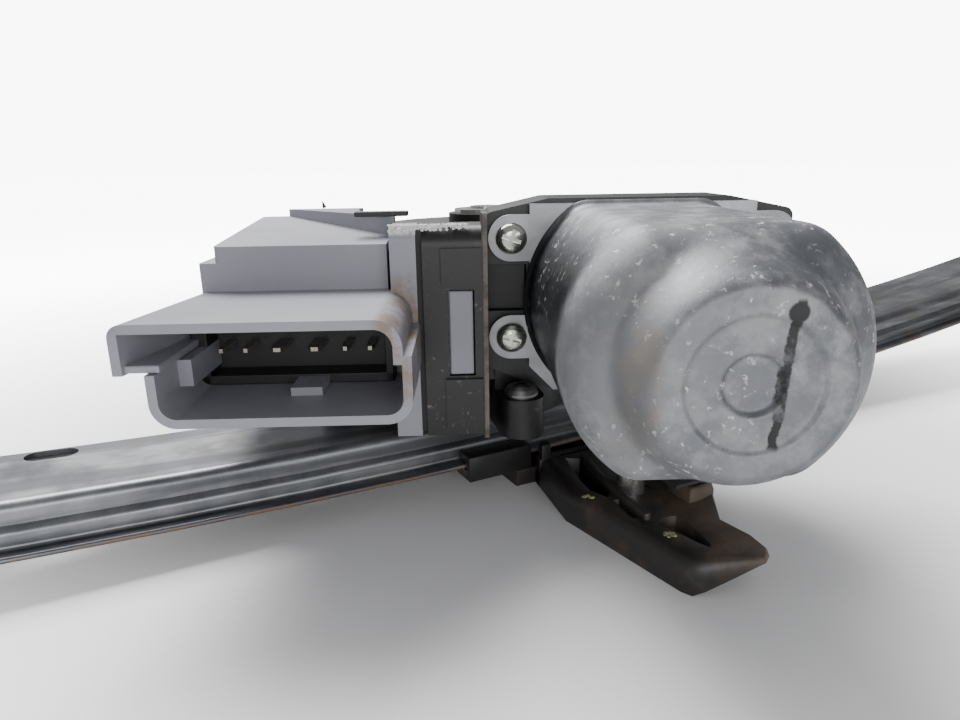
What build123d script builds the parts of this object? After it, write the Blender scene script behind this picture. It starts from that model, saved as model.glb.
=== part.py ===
from build123d import *
import math
import os

# Cable-operated window regulator of a car door: one arched rail with a pulley at each end, a geared
# motor with its control module in the middle, and a carrier with a glass clamp that the cables pull.
#
# Working frame: x along the rail, y across it (away from the plug side), z up, away from the web.
# Its origin is where the drum's axis meets the top of the rail's web. The motor pieces are drawn in
# a frame turned about that axis, with the motor lying along its y. At the end the whole part is moved
# so that the origin is the middle of the base of its box.

# Rail: a hat-shaped steel section bent to the arch of the glass
RAIL_RADIUS = 1740.0
RAIL_LOW_X = -40.0
RAIL_LEFT = 240.0
RAIL_RIGHT = 262.0
RAIL_SHIFT_Y = -2.4
SHEET = 1.2
WEB_HALF = 14.4
WALL_TOP_DEPTH = 4.6
STEP_OUT = 1.2
WALL_DEPTH = 10.0
LIP = 3.4
BEND = 1.4
SLOT_AT = -104.5
SLOT_Y = 9.6
SLOT_LENGTH = 10.5
SLOT_WIDTH = 5.4
STUD_INSET = 7.0
STUD_R = 3.0
STUD_HEIGHT = 16.0
STUD_COLLAR_R = 7.0
STUD_COLLAR_H = 3.0

# Cable and pulleys
CABLE_R = 0.75
CABLE_DEPTH = 5.2
CABLE_ROOM = 0.35
PULLEY_R = 9.5
PULLEY_EDGE = 1.6
PULLEY_THICK = 5.6
PULLEY_INSET = 26.0
AXLE_R = 3.0
AXLE_HEAD_R = 5.5
AXLE_HEAD_H = 1.2
LEAD_START = 7.8
LEAD_BEND_X = 27.0
LEAD_BEND_Y = 9.1
LEAD_BEND_DROP = 1.8
LEAD_END_S = 62.0
LEAD_FLAT = 12.0
STOP_LENGTH = 8.0
STOP_HALF = 5.5
STOP_DEPTH = 8.6

# Fits
RUNNING = 0.05
SEAT = 0.3
ROOM = 0.4
ARCH_ROOM = 0.02

# Drum
DRUM_PITCH_R = 17.0
DRUM_LAND = 0.4
DRUM_FLANGE_R = 18.8
DRUM_BASE_Z = 2.2
DRUM_HEIGHT = 10.4
GROOVE_PITCH = 1.8
GROOVE_COUNT = 5
GROOVE_PLAY = 0.05
AXLE_PIN_R = 4.0

# Drum housing
DRUM_FLOOR = 1.6
DRUM_WALL = 2.0
DRUM_CASE_Z = 13.8
LUG_CIRCLE = 35.5
LUG_R = 5.0
LUG_TOP = 8.5
EAR_THICK = 2.8
LUG_ANGLES = (-79.8, 75.0, 175.0)
UNIT_SCREW_R = 2.0
GUIDE_TOP_Z = 8.2
GUIDE_BACK = 11.0
GUIDE_REACH = 16.0
GUIDE_HALF = 3.6
FOOT_THICK = 3.4
FOOT_HALF_X = 32.0
RIVET_X = 27.5
RIVET_Y = 8.2
RIVET_R = 2.0
RIVET_HEAD_R = 3.6
RIVET_HEAD_H = 1.1
CABLE_SLOT_NEAR = 32.0
CABLE_SLOT_FAR = 50.0
CABLE_SLOT_HALF = 2.3

# Worm gear
MODULE = 0.8
WHEEL_TEETH = 69
WORM_PITCH_R = 4.5
WORM_LENGTH = 14.0
ADDENDUM = 0.7
DEDENDUM = 1.0
BACKLASH = 0.24
FLANK_DEG = 20.0
WHEEL_FACE = 8.0
WHEEL_HUB_R = 8.0
WHEEL_WEB = 3.6
SHAFT_R = 3.0

# Motor
MOTOR_TURN = -25.0
MOTOR_Z = 32.3
CAN_R = 24.0
CAN_FLAT = 20.0
CAN_CORNER = 7.0
CAN_NOSE = 9.0
CAN_SHEET = 1.8
CAN_FRONT_Y = -88.7
CAN_BACK_Y = -33.8
CAN_FLANGE = 2.2
BOSS_H = 7.8
BOSS_TOP_R = 14.6
BOSS_ROOT_R = 17.2
BOSS_DISC_R = 9.55
BOSS_DISC_DEEP = 0.6
BOSS_EYE_R = 4.2
BOSS_EYE_DEEP = 0.9
EAR_X = 27.9
EAR_Z = (13.4, -8.1)
EAR_R = 4.9
CAN_SCREW_R = 1.75
CAN_SCREW_HEAD_R = 3.3
MAGNET_R = 17.1
CORE_R = 16.2
COMMUTATOR_R = 7.0
BUSH_R = 5.5

# Gear housing
PAN_R = 31.2
PAN_WALL = 2.0
PAN_TOP_Z = 46.0
PAN_ROOF = 3.5
COVER_THICK = 1.8
HUB_BOSS_R = 9.5
HUB_BOSS_Z = 49.0
WORM_TUBE_R = 9.8
WORM_BORE_R = 6.2
TUBE_END_Y = 29.0
BRUSH_CASE_BACK_Y = -15.0
BRUSH_ROOM_R = 18.6
BRUSH_ROOM_Y = -25.5

# Socket on the gear housing and the control module that plugs into it
SOCKET_LEFT_X = -14.4
SOCKET_RIGHT_X = -2.3
SOCKET_FRONT_Y = -41.0
SOCKET_BACK_Y = -29.9
SOCKET_BASE_Z = 4.4
SOCKET_TOP_Z = 49.0
SOCKET_WALL = 1.6
LATCH_X0 = -9.4
LATCH_X1 = -3.9
LATCH_Z0 = 17.8
LATCH_Z1 = 36.2
STRIP_LEFT_X = -20.9
SEAL_THICK = 1.2
MODULE_WALL = 1.8
MODULE_BASE_Z = 17.6
MODULE_BACK_Y = 4.0
MODULE_FRONT_Y = -36.5
MODULE_TOP_Z = 45.3
MODULE_TOP_RISE = 3.2
MODULE_LEFT_X = -57.7
MODULE_STEP_X = -61.1
MODULE_STEP_Z = 41.9
COLLAR_TOP_Z = 50.3
PAN_CLEAR = 0.8
HOOD_MOUTH_Y = -67.2
HOOD_WALL = 1.7
HOOD_FLOOR_Y = -40.0
TUB_LEFT_X = -61.0
TUB_RIGHT_X = -15.2
TUB_BASE_Z = 17.2
HOOD_LEFT_MOUTH_X = -66.3
HOOD_LEFT_BACK_X = -61.9
HOOD_RIGHT_X = -16.7
HOOD_TOP_Z = 36.0
HOOD_SPLIT_Z = 27.0
BLADE_Z = 26.5
BLADE_TIP_Y = -49.5
SMALL_BLADE_X = (-53.8, -49.0, -29.6, -24.7)
LARGE_BLADE_X = (-42.9, -35.6)
SMALL_BLADE_WIDTH = 1.5
LARGE_BLADE_WIDTH = 2.8
BLADE_THICK = 0.8
BOARD_Z = 23.8
BOARD_THICK = 1.6

# Carrier
CARRIER_AT = 11.0
CARRIER_HALF = 30.0
CARRIER_BASE_Z = -16.7
CARRIER_PLATE_TOP = -12.6
SHOE_LENGTH = 17.0
SHOE_WALL = 2.2
ARM_TOP_Z = -9.4
ARM_WALL = 2.4
GLASS_GAP = 4.4
PAD_THICK = 0.8
JAW_THICK = 3.2
CLAMP_FLOOR_Z = -11.4
CLAMP_Y0 = -61.0
CLAMP_Y1 = -40.0
NIPPLE_R = 2.4
NIPPLE_LENGTH = 7.0
SPRING_R = 2.3
SPRING_WIRE = 0.4
SPRING_TURNS = 6

WHEEL_PITCH_R = MODULE * WHEEL_TEETH / 2
MOTOR_X = WHEEL_PITCH_R + WORM_PITCH_R
LEAD = math.pi * MODULE
ARCH_Z = math.sqrt(RAIL_RADIUS**2 - RAIL_LOW_X**2)
ARCH_START = math.asin(-RAIL_LOW_X / RAIL_RADIUS)
ARCH_AXIS = Axis((RAIL_LOW_X, 0, ARCH_Z), (0, -1, 0))
LOW = (Align.CENTER, Align.CENTER, Align.MIN)
CORNER = (Align.MIN, Align.MIN, Align.MIN)


def block(x0, x1, y0, y1, z0, z1):
    """A box between two corners."""
    return Pos(x0, y0, z0) * Box(x1 - x0, y1 - y0, z1 - z0, align=CORNER)


def upright(x, y, z0, z1, radius, bore=0.0):
    """A cylinder or tube that stands at x, y."""
    solid = Cylinder(radius, z1 - z0, align=LOW)
    if bore:
        solid -= Cylinder(bore, z1 - z0, align=LOW)
    return Pos(x, y, z0) * solid


def on_motor(y):
    """The motor's axis at y: local z runs along it, away from the can's end."""
    return Location(Plane((MOTOR_X, y, MOTOR_Z), x_dir=(1, 0, 0), z_dir=(0, 1, 0)))


def barrel(y0, y1, radius, bore=0.0):
    """A cylinder or tube on the motor's axis."""
    solid = Cylinder(radius, y1 - y0, align=LOW)
    if bore:
        solid -= Cylinder(bore, y1 - y0, align=LOW)
    return on_motor(y0) * solid


def prism(points, z0, z1):
    """An outline in plan, raised from z0 to z1."""
    face = make_face(Polyline(*points, close=True))
    return Pos(0, 0, z0) * extrude(face, z1 - z0)


def on_rail(s):
    """A place on top of the web, s along the arch from the drum's axis: x along the rail, z up."""
    angle = ARCH_START + s / RAIL_RADIUS
    x = RAIL_LOW_X + RAIL_RADIUS * math.sin(angle)
    z = ARCH_Z - RAIL_RADIUS * math.cos(angle)
    return Pos(x, RAIL_SHIFT_Y, z) * Rot(0, -math.degrees(angle), 0)


def along_arch(section, s0, s1):
    """A section drawn across the rail (y across, z up), carried along the arch from s0 to s1."""
    face = on_rail(s0) * (Plane.YZ * section)
    return revolve(face, axis=ARCH_AXIS, revolution_arc=math.degrees((s1 - s0) / RAIL_RADIUS))


def rounded(solid, axis, radius):
    """Rounds the edges that run along an axis."""
    return fillet(solid.edges().filter_by(axis), radius)


def rail():
    """The arched hat section with its slots and holes."""
    mid = SHEET / 2
    wall = WEB_HALF - mid
    foot = wall + STEP_OUT
    half = [
        (wall, -mid),
        (wall, -WALL_TOP_DEPTH),
        (foot, -WALL_TOP_DEPTH - STEP_OUT),
        (foot, mid - WALL_DEPTH),
        (foot + LIP, mid - WALL_DEPTH),
    ]
    points = [(-x, z) for x, z in reversed(half)] + half
    line = FilletPolyline(*points, radius=[BEND, mid, mid, BEND, BEND, mid, mid, BEND])
    section = make_face(offset(line.wire(), amount=mid, side=Side.BOTH))
    solid = along_arch(section, -RAIL_LEFT, RAIL_RIGHT)
    slot = SlotOverall(SLOT_LENGTH, SLOT_WIDTH)
    solid -= on_rail(SLOT_AT) * Pos(0, SLOT_Y, -3) * extrude(slot, 6)
    cable_slot = SlotOverall(CABLE_SLOT_FAR - CABLE_SLOT_NEAR, 2 * CABLE_SLOT_HALF)
    middle = (CABLE_SLOT_FAR + CABLE_SLOT_NEAR) / 2
    for side in (-1, 1):
        solid -= on_rail(side * middle) * Pos(0, PULLEY_R, -3) * extrude(cable_slot, 6)
        for y in (-RIVET_Y, RIVET_Y - 7):
            solid -= on_rail(side * RIVET_X) * Pos(0, y, 0) * Cylinder(RIVET_R, 6)
    for s in (PULLEY_INSET - RAIL_LEFT, RAIL_RIGHT - PULLEY_INSET):
        solid -= on_rail(s) * Cylinder(AXLE_R, 6)
    for s in (STUD_INSET - RAIL_LEFT, RAIL_RIGHT - STUD_INSET):
        solid -= on_rail(s) * Cylinder(STUD_R, 6)
    return solid


def rail_stud():
    """A stud with a collar on the web and a clinched foot under it."""
    stud = Pos(0, 0, -SHEET - 1) * Cylinder(STUD_R, STUD_HEIGHT + SHEET + 1, align=LOW)
    stud = chamfer(stud.edges().sort_by(Axis.Z)[-1], 0.8)
    stud += Pos(0, 0, ARCH_ROOM) * Cylinder(STUD_COLLAR_R, STUD_COLLAR_H, align=LOW)
    stud += Pos(0, 0, -SHEET - 1) * Cylinder(STUD_R + 1.2, 1, align=LOW)
    return stud


def pulley():
    """A grooved pulley under the web, in its place's own frame."""
    rim = PULLEY_R + PULLEY_EDGE
    half = PULLEY_THICK / 2
    bore = AXLE_R + RUNNING
    deep = CABLE_R + GROOVE_PLAY
    with BuildSketch() as sketch:
        with BuildLine():
            Polyline((bore, -half), (rim, -half), (rim, 0.2 - half), (PULLEY_R, -deep))
            CenterArc((PULLEY_R, 0), deep, 270, -180)
            Polyline((PULLEY_R, deep), (rim, half - 0.2), (rim, half), (bore, half), (bore, -half))
        make_face()
    return Pos(0, 0, -CABLE_DEPTH) * revolve(Plane.XZ * sketch.sketch, Axis.Z)


def pulley_axle():
    """The shoulder rivet that a pulley turns on."""
    low = -CABLE_DEPTH - PULLEY_THICK / 2 - SEAT
    pin = Pos(0, 0, low) * Cylinder(AXLE_R, -low + ARCH_ROOM + 0.5, align=LOW)
    pin += Pos(0, 0, low - AXLE_HEAD_H) * Cylinder(AXLE_HEAD_R, AXLE_HEAD_H, align=LOW)
    pin += Pos(0, 0, ARCH_ROOM) * Cylinder(AXLE_R + 1.6, 0.9, align=LOW)
    spacer = -SHEET + CABLE_DEPTH - PULLEY_THICK / 2 - SEAT
    return pin + Pos(0, 0, -SHEET - spacer) * Cylinder(AXLE_R + 1.2, spacer, align=LOW)


def cable_section():
    """The round cable's section."""
    return Circle(CABLE_R)


def cable_lead(side):
    """The route from the drum down through its web slot: points, ending on the arch's line."""
    groove_z = DRUM_BASE_Z + DRUM_HEIGHT / 2
    far = math.hypot(LEAD_BEND_X, LEAD_BEND_Y)
    leave = math.asin(DRUM_PITCH_R / far) - math.atan2(LEAD_BEND_Y, LEAD_BEND_X)
    end = on_rail(side * LEAD_END_S) * Pos(0, PULLEY_R, -CABLE_DEPTH)
    near_end = on_rail(side * LEAD_END_S) * Pos(-side * LEAD_FLAT, PULLEY_R, -CABLE_DEPTH)
    start_x = DRUM_PITCH_R * math.sin(leave) + LEAD_START * math.cos(leave)
    start_y = DRUM_PITCH_R * math.cos(leave) - LEAD_START * math.sin(leave)
    return [
        Vector(side * start_x, start_y, groove_z),
        Vector(side * LEAD_BEND_X, LEAD_BEND_Y, groove_z - LEAD_BEND_DROP),
        near_end.position,
        end.position,
    ]


def cable(side):
    """One cable: off the drum, through the web, out to the end pulley, round it and back."""
    limit = RAIL_RIGHT if side > 0 else RAIL_LEFT
    turn_at = side * (limit - PULLEY_INSET)
    out_run = cable_run(PULLEY_R, side * LEAD_END_S, turn_at)
    half_turn = cable_turn(turn_at, side)
    back_run = cable_run(-PULLEY_R, turn_at, CARRIER_AT)
    return lead_tube(side, CABLE_R) + out_run + half_turn + back_run


def cable_run(y, s0, s1):
    """A cable's stretch along the arch."""
    section = Pos(y, -CABLE_DEPTH) * cable_section()
    return along_arch(section, min(s0, s1), max(s0, s1))


def cable_turn(s, side):
    """The cable's half turn round a pulley."""
    section = Plane.YZ * (Pos(-side * PULLEY_R, 0) * cable_section())
    turned = revolve(section, Axis.Z, revolution_arc=180)
    return on_rail(s) * Pos(0, 0, -CABLE_DEPTH) * turned


def lead_tube(side, radius):
    """A round bar of a given radius on the route from the drum through the web."""
    lead = FilletPolyline(*cable_lead(side), radius=[12.0, 25.0])
    return sweep(Plane(lead @ 0, z_dir=lead % 0) * Circle(radius), path=lead)


def rail_stop():
    """A rubber block under the web that the carrier runs against."""
    body = block(-STOP_LENGTH / 2, STOP_LENGTH / 2, -STOP_HALF, STOP_HALF, -SHEET - STOP_DEPTH, -SHEET)
    return rounded(body, Axis.Z, 1.5)


def rail_rivet():
    """A rivet through the drum housing's foot and the web."""
    shank = Pos(0, 0, -SHEET) * Cylinder(RIVET_R, SHEET + FOOT_THICK, align=LOW)
    head = Pos(0, 0, FOOT_THICK) * Cylinder(RIVET_HEAD_R, RIVET_HEAD_H, align=LOW)
    tail = Pos(0, 0, -SHEET - RIVET_HEAD_H) * Cylinder(RIVET_HEAD_R - 0.4, RIVET_HEAD_H, align=LOW)
    return shank + chamfer(head.edges().sort_by(Axis.Z)[-1], 0.6) + tail


def lug_place(angle):
    """The middle of one fixing lug, in the motor's frame."""
    turn = math.radians(angle)
    return LUG_CIRCLE * math.cos(turn), LUG_CIRCLE * math.sin(turn)


def arch_disc():
    """Everything above the web's top face."""
    place = Location(Plane((RAIL_LOW_X, -100, ARCH_Z), x_dir=(1, 0, 0), z_dir=(0, 1, 0)))
    return place * Cylinder(RAIL_RADIUS, 200, align=LOW)


def drum_housing():
    """The pan round the drum, with its foot on the rail, cable guides and three screw lugs."""
    inner = DRUM_FLANGE_R + ROOM
    near = RAIL_SHIFT_Y + 2.0 - WEB_HALF
    far = RAIL_SHIFT_Y + WEB_HALF
    body = upright(0, 0, -2, DRUM_CASE_Z, inner + DRUM_WALL)
    body += rounded(block(-FOOT_HALF_X, FOOT_HALF_X, near, far, -2, FOOT_THICK), Axis.Z, 4)
    for side in (-1, 1):
        start, end = cable_lead(side)[1], cable_lead(side)[2]
        turn = math.degrees(math.atan2(end.Y - start.Y, end.X - start.X))
        guide = block(-GUIDE_BACK, GUIDE_REACH, -GUIDE_HALF, GUIDE_HALF, -2, GUIDE_TOP_Z)
        body += Pos(start.X, start.Y, 0) * Rot(0, 0, turn) * guide
    for angle in LUG_ANGLES:
        arm = block(inner, LUG_CIRCLE, -LUG_R, LUG_R, 2.4, LUG_TOP)
        arm += upright(LUG_CIRCLE, 0, 2.4, LUG_TOP, LUG_R)
        body += Rot(0, 0, angle + MOTOR_TURN) * arm
    for angle in LUG_ANGLES:
        body -= Rot(0, 0, angle + MOTOR_TURN) * upright(LUG_CIRCLE, 0, 3.4, LUG_TOP, UNIT_SCREW_R)
    body -= upright(0, 0, DRUM_FLOOR, DRUM_CASE_Z, inner)
    body += upright(0, 0, -2, DRUM_FLOOR, AXLE_PIN_R + 3)
    body -= upright(0, 0, -2, DRUM_FLOOR, AXLE_PIN_R)
    body = body & arch_disc()
    for side in (-1, 1):
        body -= lead_tube(side, CABLE_R + CABLE_ROOM)
        for y in (-RIVET_Y, RIVET_Y - 7):
            body -= on_rail(side * RIVET_X) * Pos(0, y, -3) * Cylinder(RIVET_R, 12, align=LOW)
            rivet_room = Cylinder(RIVET_HEAD_R + 0.4, 12, align=LOW)
            body -= on_rail(side * RIVET_X) * Pos(0, y, FOOT_THICK) * rivet_room
    return body


def groove_places():
    """The height of each of the drum's grooves."""
    low = DRUM_BASE_Z + (DRUM_HEIGHT - GROOVE_PITCH * (GROOVE_COUNT - 1)) / 2
    return [low + GROOVE_PITCH * index for index in range(GROOVE_COUNT)]


def cable_drum():
    """The drum: flanged, with its cable grooves and a six-sided socket for its driver."""
    land = DRUM_PITCH_R + DRUM_LAND
    body = upright(0, 0, DRUM_BASE_Z, DRUM_BASE_Z + DRUM_HEIGHT, land)
    body += upright(0, 0, DRUM_BASE_Z, DRUM_BASE_Z + 0.8, DRUM_FLANGE_R)
    top = DRUM_BASE_Z + DRUM_HEIGHT
    body += upright(0, 0, top - 0.8, top, DRUM_FLANGE_R)
    for z in groove_places():
        body -= Pos(0, 0, z) * Torus(DRUM_PITCH_R, CABLE_R + GROOVE_PLAY)
    body -= upright(0, 0, 0, top + 1, AXLE_PIN_R + RUNNING)
    socket = RegularPolygon(DRIVER_FLAT + DRIVER_PLAY, 6, major_radius=False)
    body -= Rot(0, 0, MOTOR_TURN) * Pos(0, 0, top - DRIVER_REACH) * extrude(socket, DRIVER_REACH + 1)
    for angle in range(0, 360, 60):
        body -= Rot(0, 0, angle + 30) * upright(13.2, 0, top - 5, top + 1, 2.2)
    return body


def cable_turns():
    """The cable's turns on the drum."""
    return [Pos(0, 0, z) * Torus(DRUM_PITCH_R, CABLE_R) for z in groove_places()]


def drive_hub():
    """The driver: a six-sided end in the drum and three dogs in the damper."""
    top = DRUM_BASE_Z + DRUM_HEIGHT
    low = top - DRIVER_REACH + SEAT
    end = Pos(0, 0, low) * extrude(RegularPolygon(DRIVER_FLAT, 6, major_radius=False), HUB_PLATE_Z - low)
    body = end + upright(0, 0, HUB_PLATE_Z, HUB_PLATE_Z + 2, DAMPER_R)
    for angle in (0, 120, 240):
        body += Rot(0, 0, angle) * dog(HUB_PLATE_Z + 2, HUB_PLATE_Z + 2 + DOG_HEIGHT)
    return body - upright(0, 0, 0, MOTOR_Z, AXLE_PIN_R + RUNNING)


def dog(z0, z1, play=0.0):
    """A driving dog on the x axis, or with play the hole for one."""
    return block(12.5 - play, 19.5 + play, -DOG_HALF - play, DOG_HALF + play, z0, z1)


def damper():
    """The rubber ring between the hub's dogs and the wheel's."""
    z0 = HUB_PLATE_Z + 2
    z1 = z0 + DOG_HEIGHT + 0.4
    body = upright(0, 0, z0, z1, DAMPER_R, 10.4)
    for angle in range(0, 360, 60):
        body -= Rot(0, 0, angle) * dog(z0 - 1, z1 + 1, 0.2)
    return body


def wheel_tooth_gap(index):
    """The four corners of one gap between two wheel teeth, going round the rim."""
    pitch = 2 * math.pi / WHEEL_TEETH
    slope = math.tan(math.radians(FLANK_DEG))
    middle = index * pitch
    half = math.pi * MODULE / 4
    corners = []
    for radius, sign in ((1, -1), (0, -1), (0, 1), (1, 1)):
        reach = WHEEL_PITCH_R + ADDENDUM if radius else WHEEL_PITCH_R - DEDENDUM
        wide = half + (reach - WHEEL_PITCH_R) * slope
        angle = middle + sign * wide / reach
        corners.append((reach * math.cos(angle), reach * math.sin(angle)))
    return corners


def worm_wheel():
    """The helical wheel, in mesh with the worm at rest: a gap faces the worm's crest."""
    low = MOTOR_Z - WHEEL_FACE / 2
    points = []
    for index in range(WHEEL_TEETH):
        points += wheel_tooth_gap(index)
    twist = math.degrees(WHEEL_FACE * LEAD / (2 * math.pi * WORM_PITCH_R) / WHEEL_PITCH_R)
    outline = Polyline(*points, close=True)
    ring = Solid.extrude_linear_with_rotation(
        outline.wire(), center=(0, 0, 0), normal=(0, 0, WHEEL_FACE), angle=twist
    )
    rim_r = WHEEL_PITCH_R - DEDENDUM - 2.2
    body = Pos(0, 0, low) * Rot(0, 0, -twist / 2) * Part(ring.wrapped)
    body -= upright(0, 0, low + WHEEL_WEB, MOTOR_Z + WHEEL_FACE, rim_r)
    body += upright(0, 0, low, WHEEL_HUB_TOP, WHEEL_HUB_R)
    for angle in range(0, 360, 60):
        rib = block(WHEEL_HUB_R - 1, rim_r + 1, -0.8, 0.8, low + WHEEL_WEB - 1, low + WHEEL_WEB + 2)
        body += Rot(0, 0, angle + 30) * rib
    for angle in (60, 180, 300):
        body += Rot(0, 0, angle) * dog(low - DOG_HEIGHT, low)
    return body - upright(0, 0, 0, PAN_TOP_Z, AXLE_PIN_R + RUNNING)


def worm_shaft():
    """The armature's shaft with the worm cut in it."""
    root = WORM_PITCH_R - DEDENDUM
    tip = WORM_PITCH_R + ADDENDUM
    slope = math.tan(math.radians(FLANK_DEG))

    def flank(radius):
        wide = LEAD / 4 - BACKLASH / 2 - (radius - WORM_PITCH_R) * slope
        angle = 2 * math.pi * wide / LEAD
        return Vector(radius * math.cos(angle), radius * math.sin(angle))

    def mirror_y(point):
        return Vector(point.X, -point.Y)

    rise = [flank(root + (tip - root) * share) for share in (0, 1)]
    with BuildSketch() as sketch:
        with BuildLine():
            Polyline(*rise)
            ThreePointArc(rise[-1], (tip, 0), mirror_y(rise[-1]))
            Polyline(*[mirror_y(point) for point in reversed(rise)])
            ThreePointArc(mirror_y(rise[0]), (-root, 0), rise[0])
        make_face()
    turns = WORM_LENGTH / LEAD
    thread = Solid.extrude_linear_with_rotation(
        sketch.sketch.face(), center=(0, 0, 0), normal=(0, 0, WORM_LENGTH), angle=360 * turns
    )
    thread = Rot(0, 0, 180 - 180 * turns) * Part(thread.wrapped)
    body = on_motor(-WORM_LENGTH / 2) * thread
    body += barrel(SHAFT_REAR_Y, -WORM_LENGTH / 2, SHAFT_R)
    return body + barrel(WORM_LENGTH / 2, SHAFT_END_Y, SHAFT_R)


def motor_can():
    """The deep-drawn can: double-D section, domed end with a bearing boss, flange with four ears."""

    def cup(radius, flat, corner, nose, y0, y1):
        outline = fillet((Circle(radius) & Rectangle(2 * radius, 2 * flat)).vertices(), corner)
        body = on_motor(y0) * extrude(outline, y1 - y0)
        return fillet(body.faces().sort_by(Axis.Y)[0].edges(), nose)

    body = cup(CAN_R, CAN_FLAT, CAN_CORNER, CAN_NOSE, CAN_FRONT_Y, CAN_BACK_Y + CAN_FLANGE)
    boss = on_motor(CAN_FRONT_Y - BOSS_H) * Cone(BOSS_TOP_R, BOSS_ROOT_R, BOSS_H + 1, align=LOW)
    body += fillet(boss.edges().sort_by(Axis.Y)[0], 2.4)
    rim = [
        (-CAN_R, CAN_FLAT + 0.4),
        (CAN_R, CAN_FLAT + 0.4),
        (CAN_R, -14.8),
        (CAN_R - 5.4, -CAN_FLAT - 0.4),
        (5.4 - CAN_R, -CAN_FLAT - 0.4),
        (-CAN_R, -14.8),
    ]
    flange = make_face(Polyline(*rim, close=True))
    for side in (-1, 1):
        for z in EAR_Z:
            flange += Pos(side * EAR_X, z) * Circle(EAR_R)
            flange += Pos(side * (EAR_X - EAR_R), z) * Rectangle(2 * EAR_R, 2 * EAR_R)
    for side in (-1, 1):
        for z in EAR_Z:
            flange -= Pos(side * EAR_X, z) * Circle(CAN_SCREW_R)
    plate = Plane((MOTOR_X, CAN_BACK_Y, MOTOR_Z), x_dir=(1, 0, 0), z_dir=(0, -1, 0))
    body += plate * extrude(flange, -CAN_FLANGE)
    inside = CAN_FRONT_Y + CAN_SHEET
    body -= cup(
        CAN_R - CAN_SHEET,
        CAN_FLAT - CAN_SHEET,
        CAN_CORNER - CAN_SHEET,
        CAN_NOSE - CAN_SHEET,
        inside,
        CAN_BACK_Y + CAN_FLANGE + 1,
    )
    front = CAN_FRONT_Y - BOSS_H
    body -= barrel(front + BOSS_SKIN, inside + 1, BOSS_TOP_R - CAN_SHEET)
    body -= barrel(front - 1, front + BOSS_DISC_DEEP, BOSS_DISC_R)
    return body - barrel(front - 1, front + BOSS_DISC_DEEP + BOSS_EYE_DEEP, BOSS_EYE_R)


def pan_head_screw(head_r, shank_r, length):
    """A pan-head screw with a cross recess, head on top of z = 0."""
    head = Cylinder(head_r, 0.72 * head_r, align=LOW)
    head = fillet(head.edges().sort_by(Axis.Z)[-1], 0.45 * head_r)
    screw = head + Pos(0, 0, -length) * Cylinder(shank_r, length, align=LOW)
    for turn in (0, 90):
        screw -= Pos(0, 0, 0.42 * head_r) * Rot(0, 0, turn) * Box(1.2 * head_r, 0.26 * head_r, head_r, align=LOW)
    return screw


def can_screws():
    """The four screws through the can's ears."""
    screws = []
    for side in (-1, 1):
        for z in EAR_Z:
            place = Plane((MOTOR_X + side * EAR_X, CAN_BACK_Y, MOTOR_Z + z), z_dir=(0, -1, 0))
            screws.append(Location(place) * pan_head_screw(CAN_SCREW_HEAD_R, CAN_SCREW_R, 10))
    return screws


def magnets():
    """The two curved field magnets on the can's round sides."""
    ring = barrel(MAGNET_Y0, MAGNET_Y1, CAN_R - CAN_SHEET, MAGNET_R)
    solids = []
    for side in (-1, 1):
        x0, x1 = sorted((side * 8.0, side * CAN_R))
        keep = block(MOTOR_X + x0, MOTOR_X + x1, MAGNET_Y0, MAGNET_Y1, MOTOR_Z - 13.5, MOTOR_Z + 13.5)
        solids.append(ring & keep)
    return solids


def armature_core():
    """The slotted stack of laminations."""
    core = barrel(CORE_Y0, CORE_Y1, CORE_R, SHAFT_R)
    place = on_motor(CORE_Y0)
    for index in range(SLOT_COUNT):
        slot = Pos(CORE_R - 3.2, 0, 0) * Box(7.4, 2.0, CORE_Y1 - CORE_Y0, align=LOW)
        core -= place * Rot(0, 0, index * 360 / SLOT_COUNT) * slot
    return core


def windings():
    """The copper coils: a wound head at each end of the core and a side in each slot."""
    turns = []
    place = on_motor(CORE_Y0)
    for index in range(SLOT_COUNT):
        side = Pos(CORE_R - 3.9, 0, 0) * Box(4.6, 1.8, CORE_Y1 - CORE_Y0, align=LOW)
        turns.append(place * Rot(0, 0, index * 360 / SLOT_COUNT) * side)
    for y0, y1 in ((CORE_Y0 - COIL_HEAD, CORE_Y0), (CORE_Y1, CORE_Y1 + COIL_HEAD)):
        head = chamfer(barrel(y0, y1, CORE_R - 1.6).edges(), 1.6)
        turns.append(head - barrel(y0 - 1, y1 + 1, SHAFT_R + 1.5))
    body = turns[0]
    for piece in turns[1:]:
        body += piece
    return body


def commutator():
    """The commutator's copper bars on the shaft."""
    body = barrel(COMMUTATOR_Y0, COMMUTATOR_Y1, COMMUTATOR_R, SHAFT_R)
    place = on_motor(COMMUTATOR_Y0)
    for index in range(SLOT_COUNT):
        cut = Pos(COMMUTATOR_R, 0, 0) * Box(2.0, 0.5, COMMUTATOR_Y1 - COMMUTATOR_Y0, align=LOW)
        body -= place * Rot(0, 0, (index + 0.5) * 360 / SLOT_COUNT) * cut
    return body


def brush_card():
    """The plastic plate with two brush boxes, across the gear housing's mouth."""
    body = barrel(CARD_Y0, CARD_Y1, BRUSH_ROOM_R - 0.3, COMMUTATOR_R + 1.3)
    for side in (-1, 1):
        x0, x1 = sorted((side * 9.2, side * 17.0))
        box = block(MOTOR_X + x0, MOTOR_X + x1, BRUSH_Y0 - 1.2, CARD_Y0, MOTOR_Z - 3.8, MOTOR_Z + 3.8)
        x0, x1 = sorted((side * 9.0, side * 16.0))
        room = block(MOTOR_X + x0, MOTOR_X + x1, BRUSH_Y0, BRUSH_Y1, MOTOR_Z - 2.6, MOTOR_Z + 2.6)
        body = body + box - room
    return body


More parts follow.
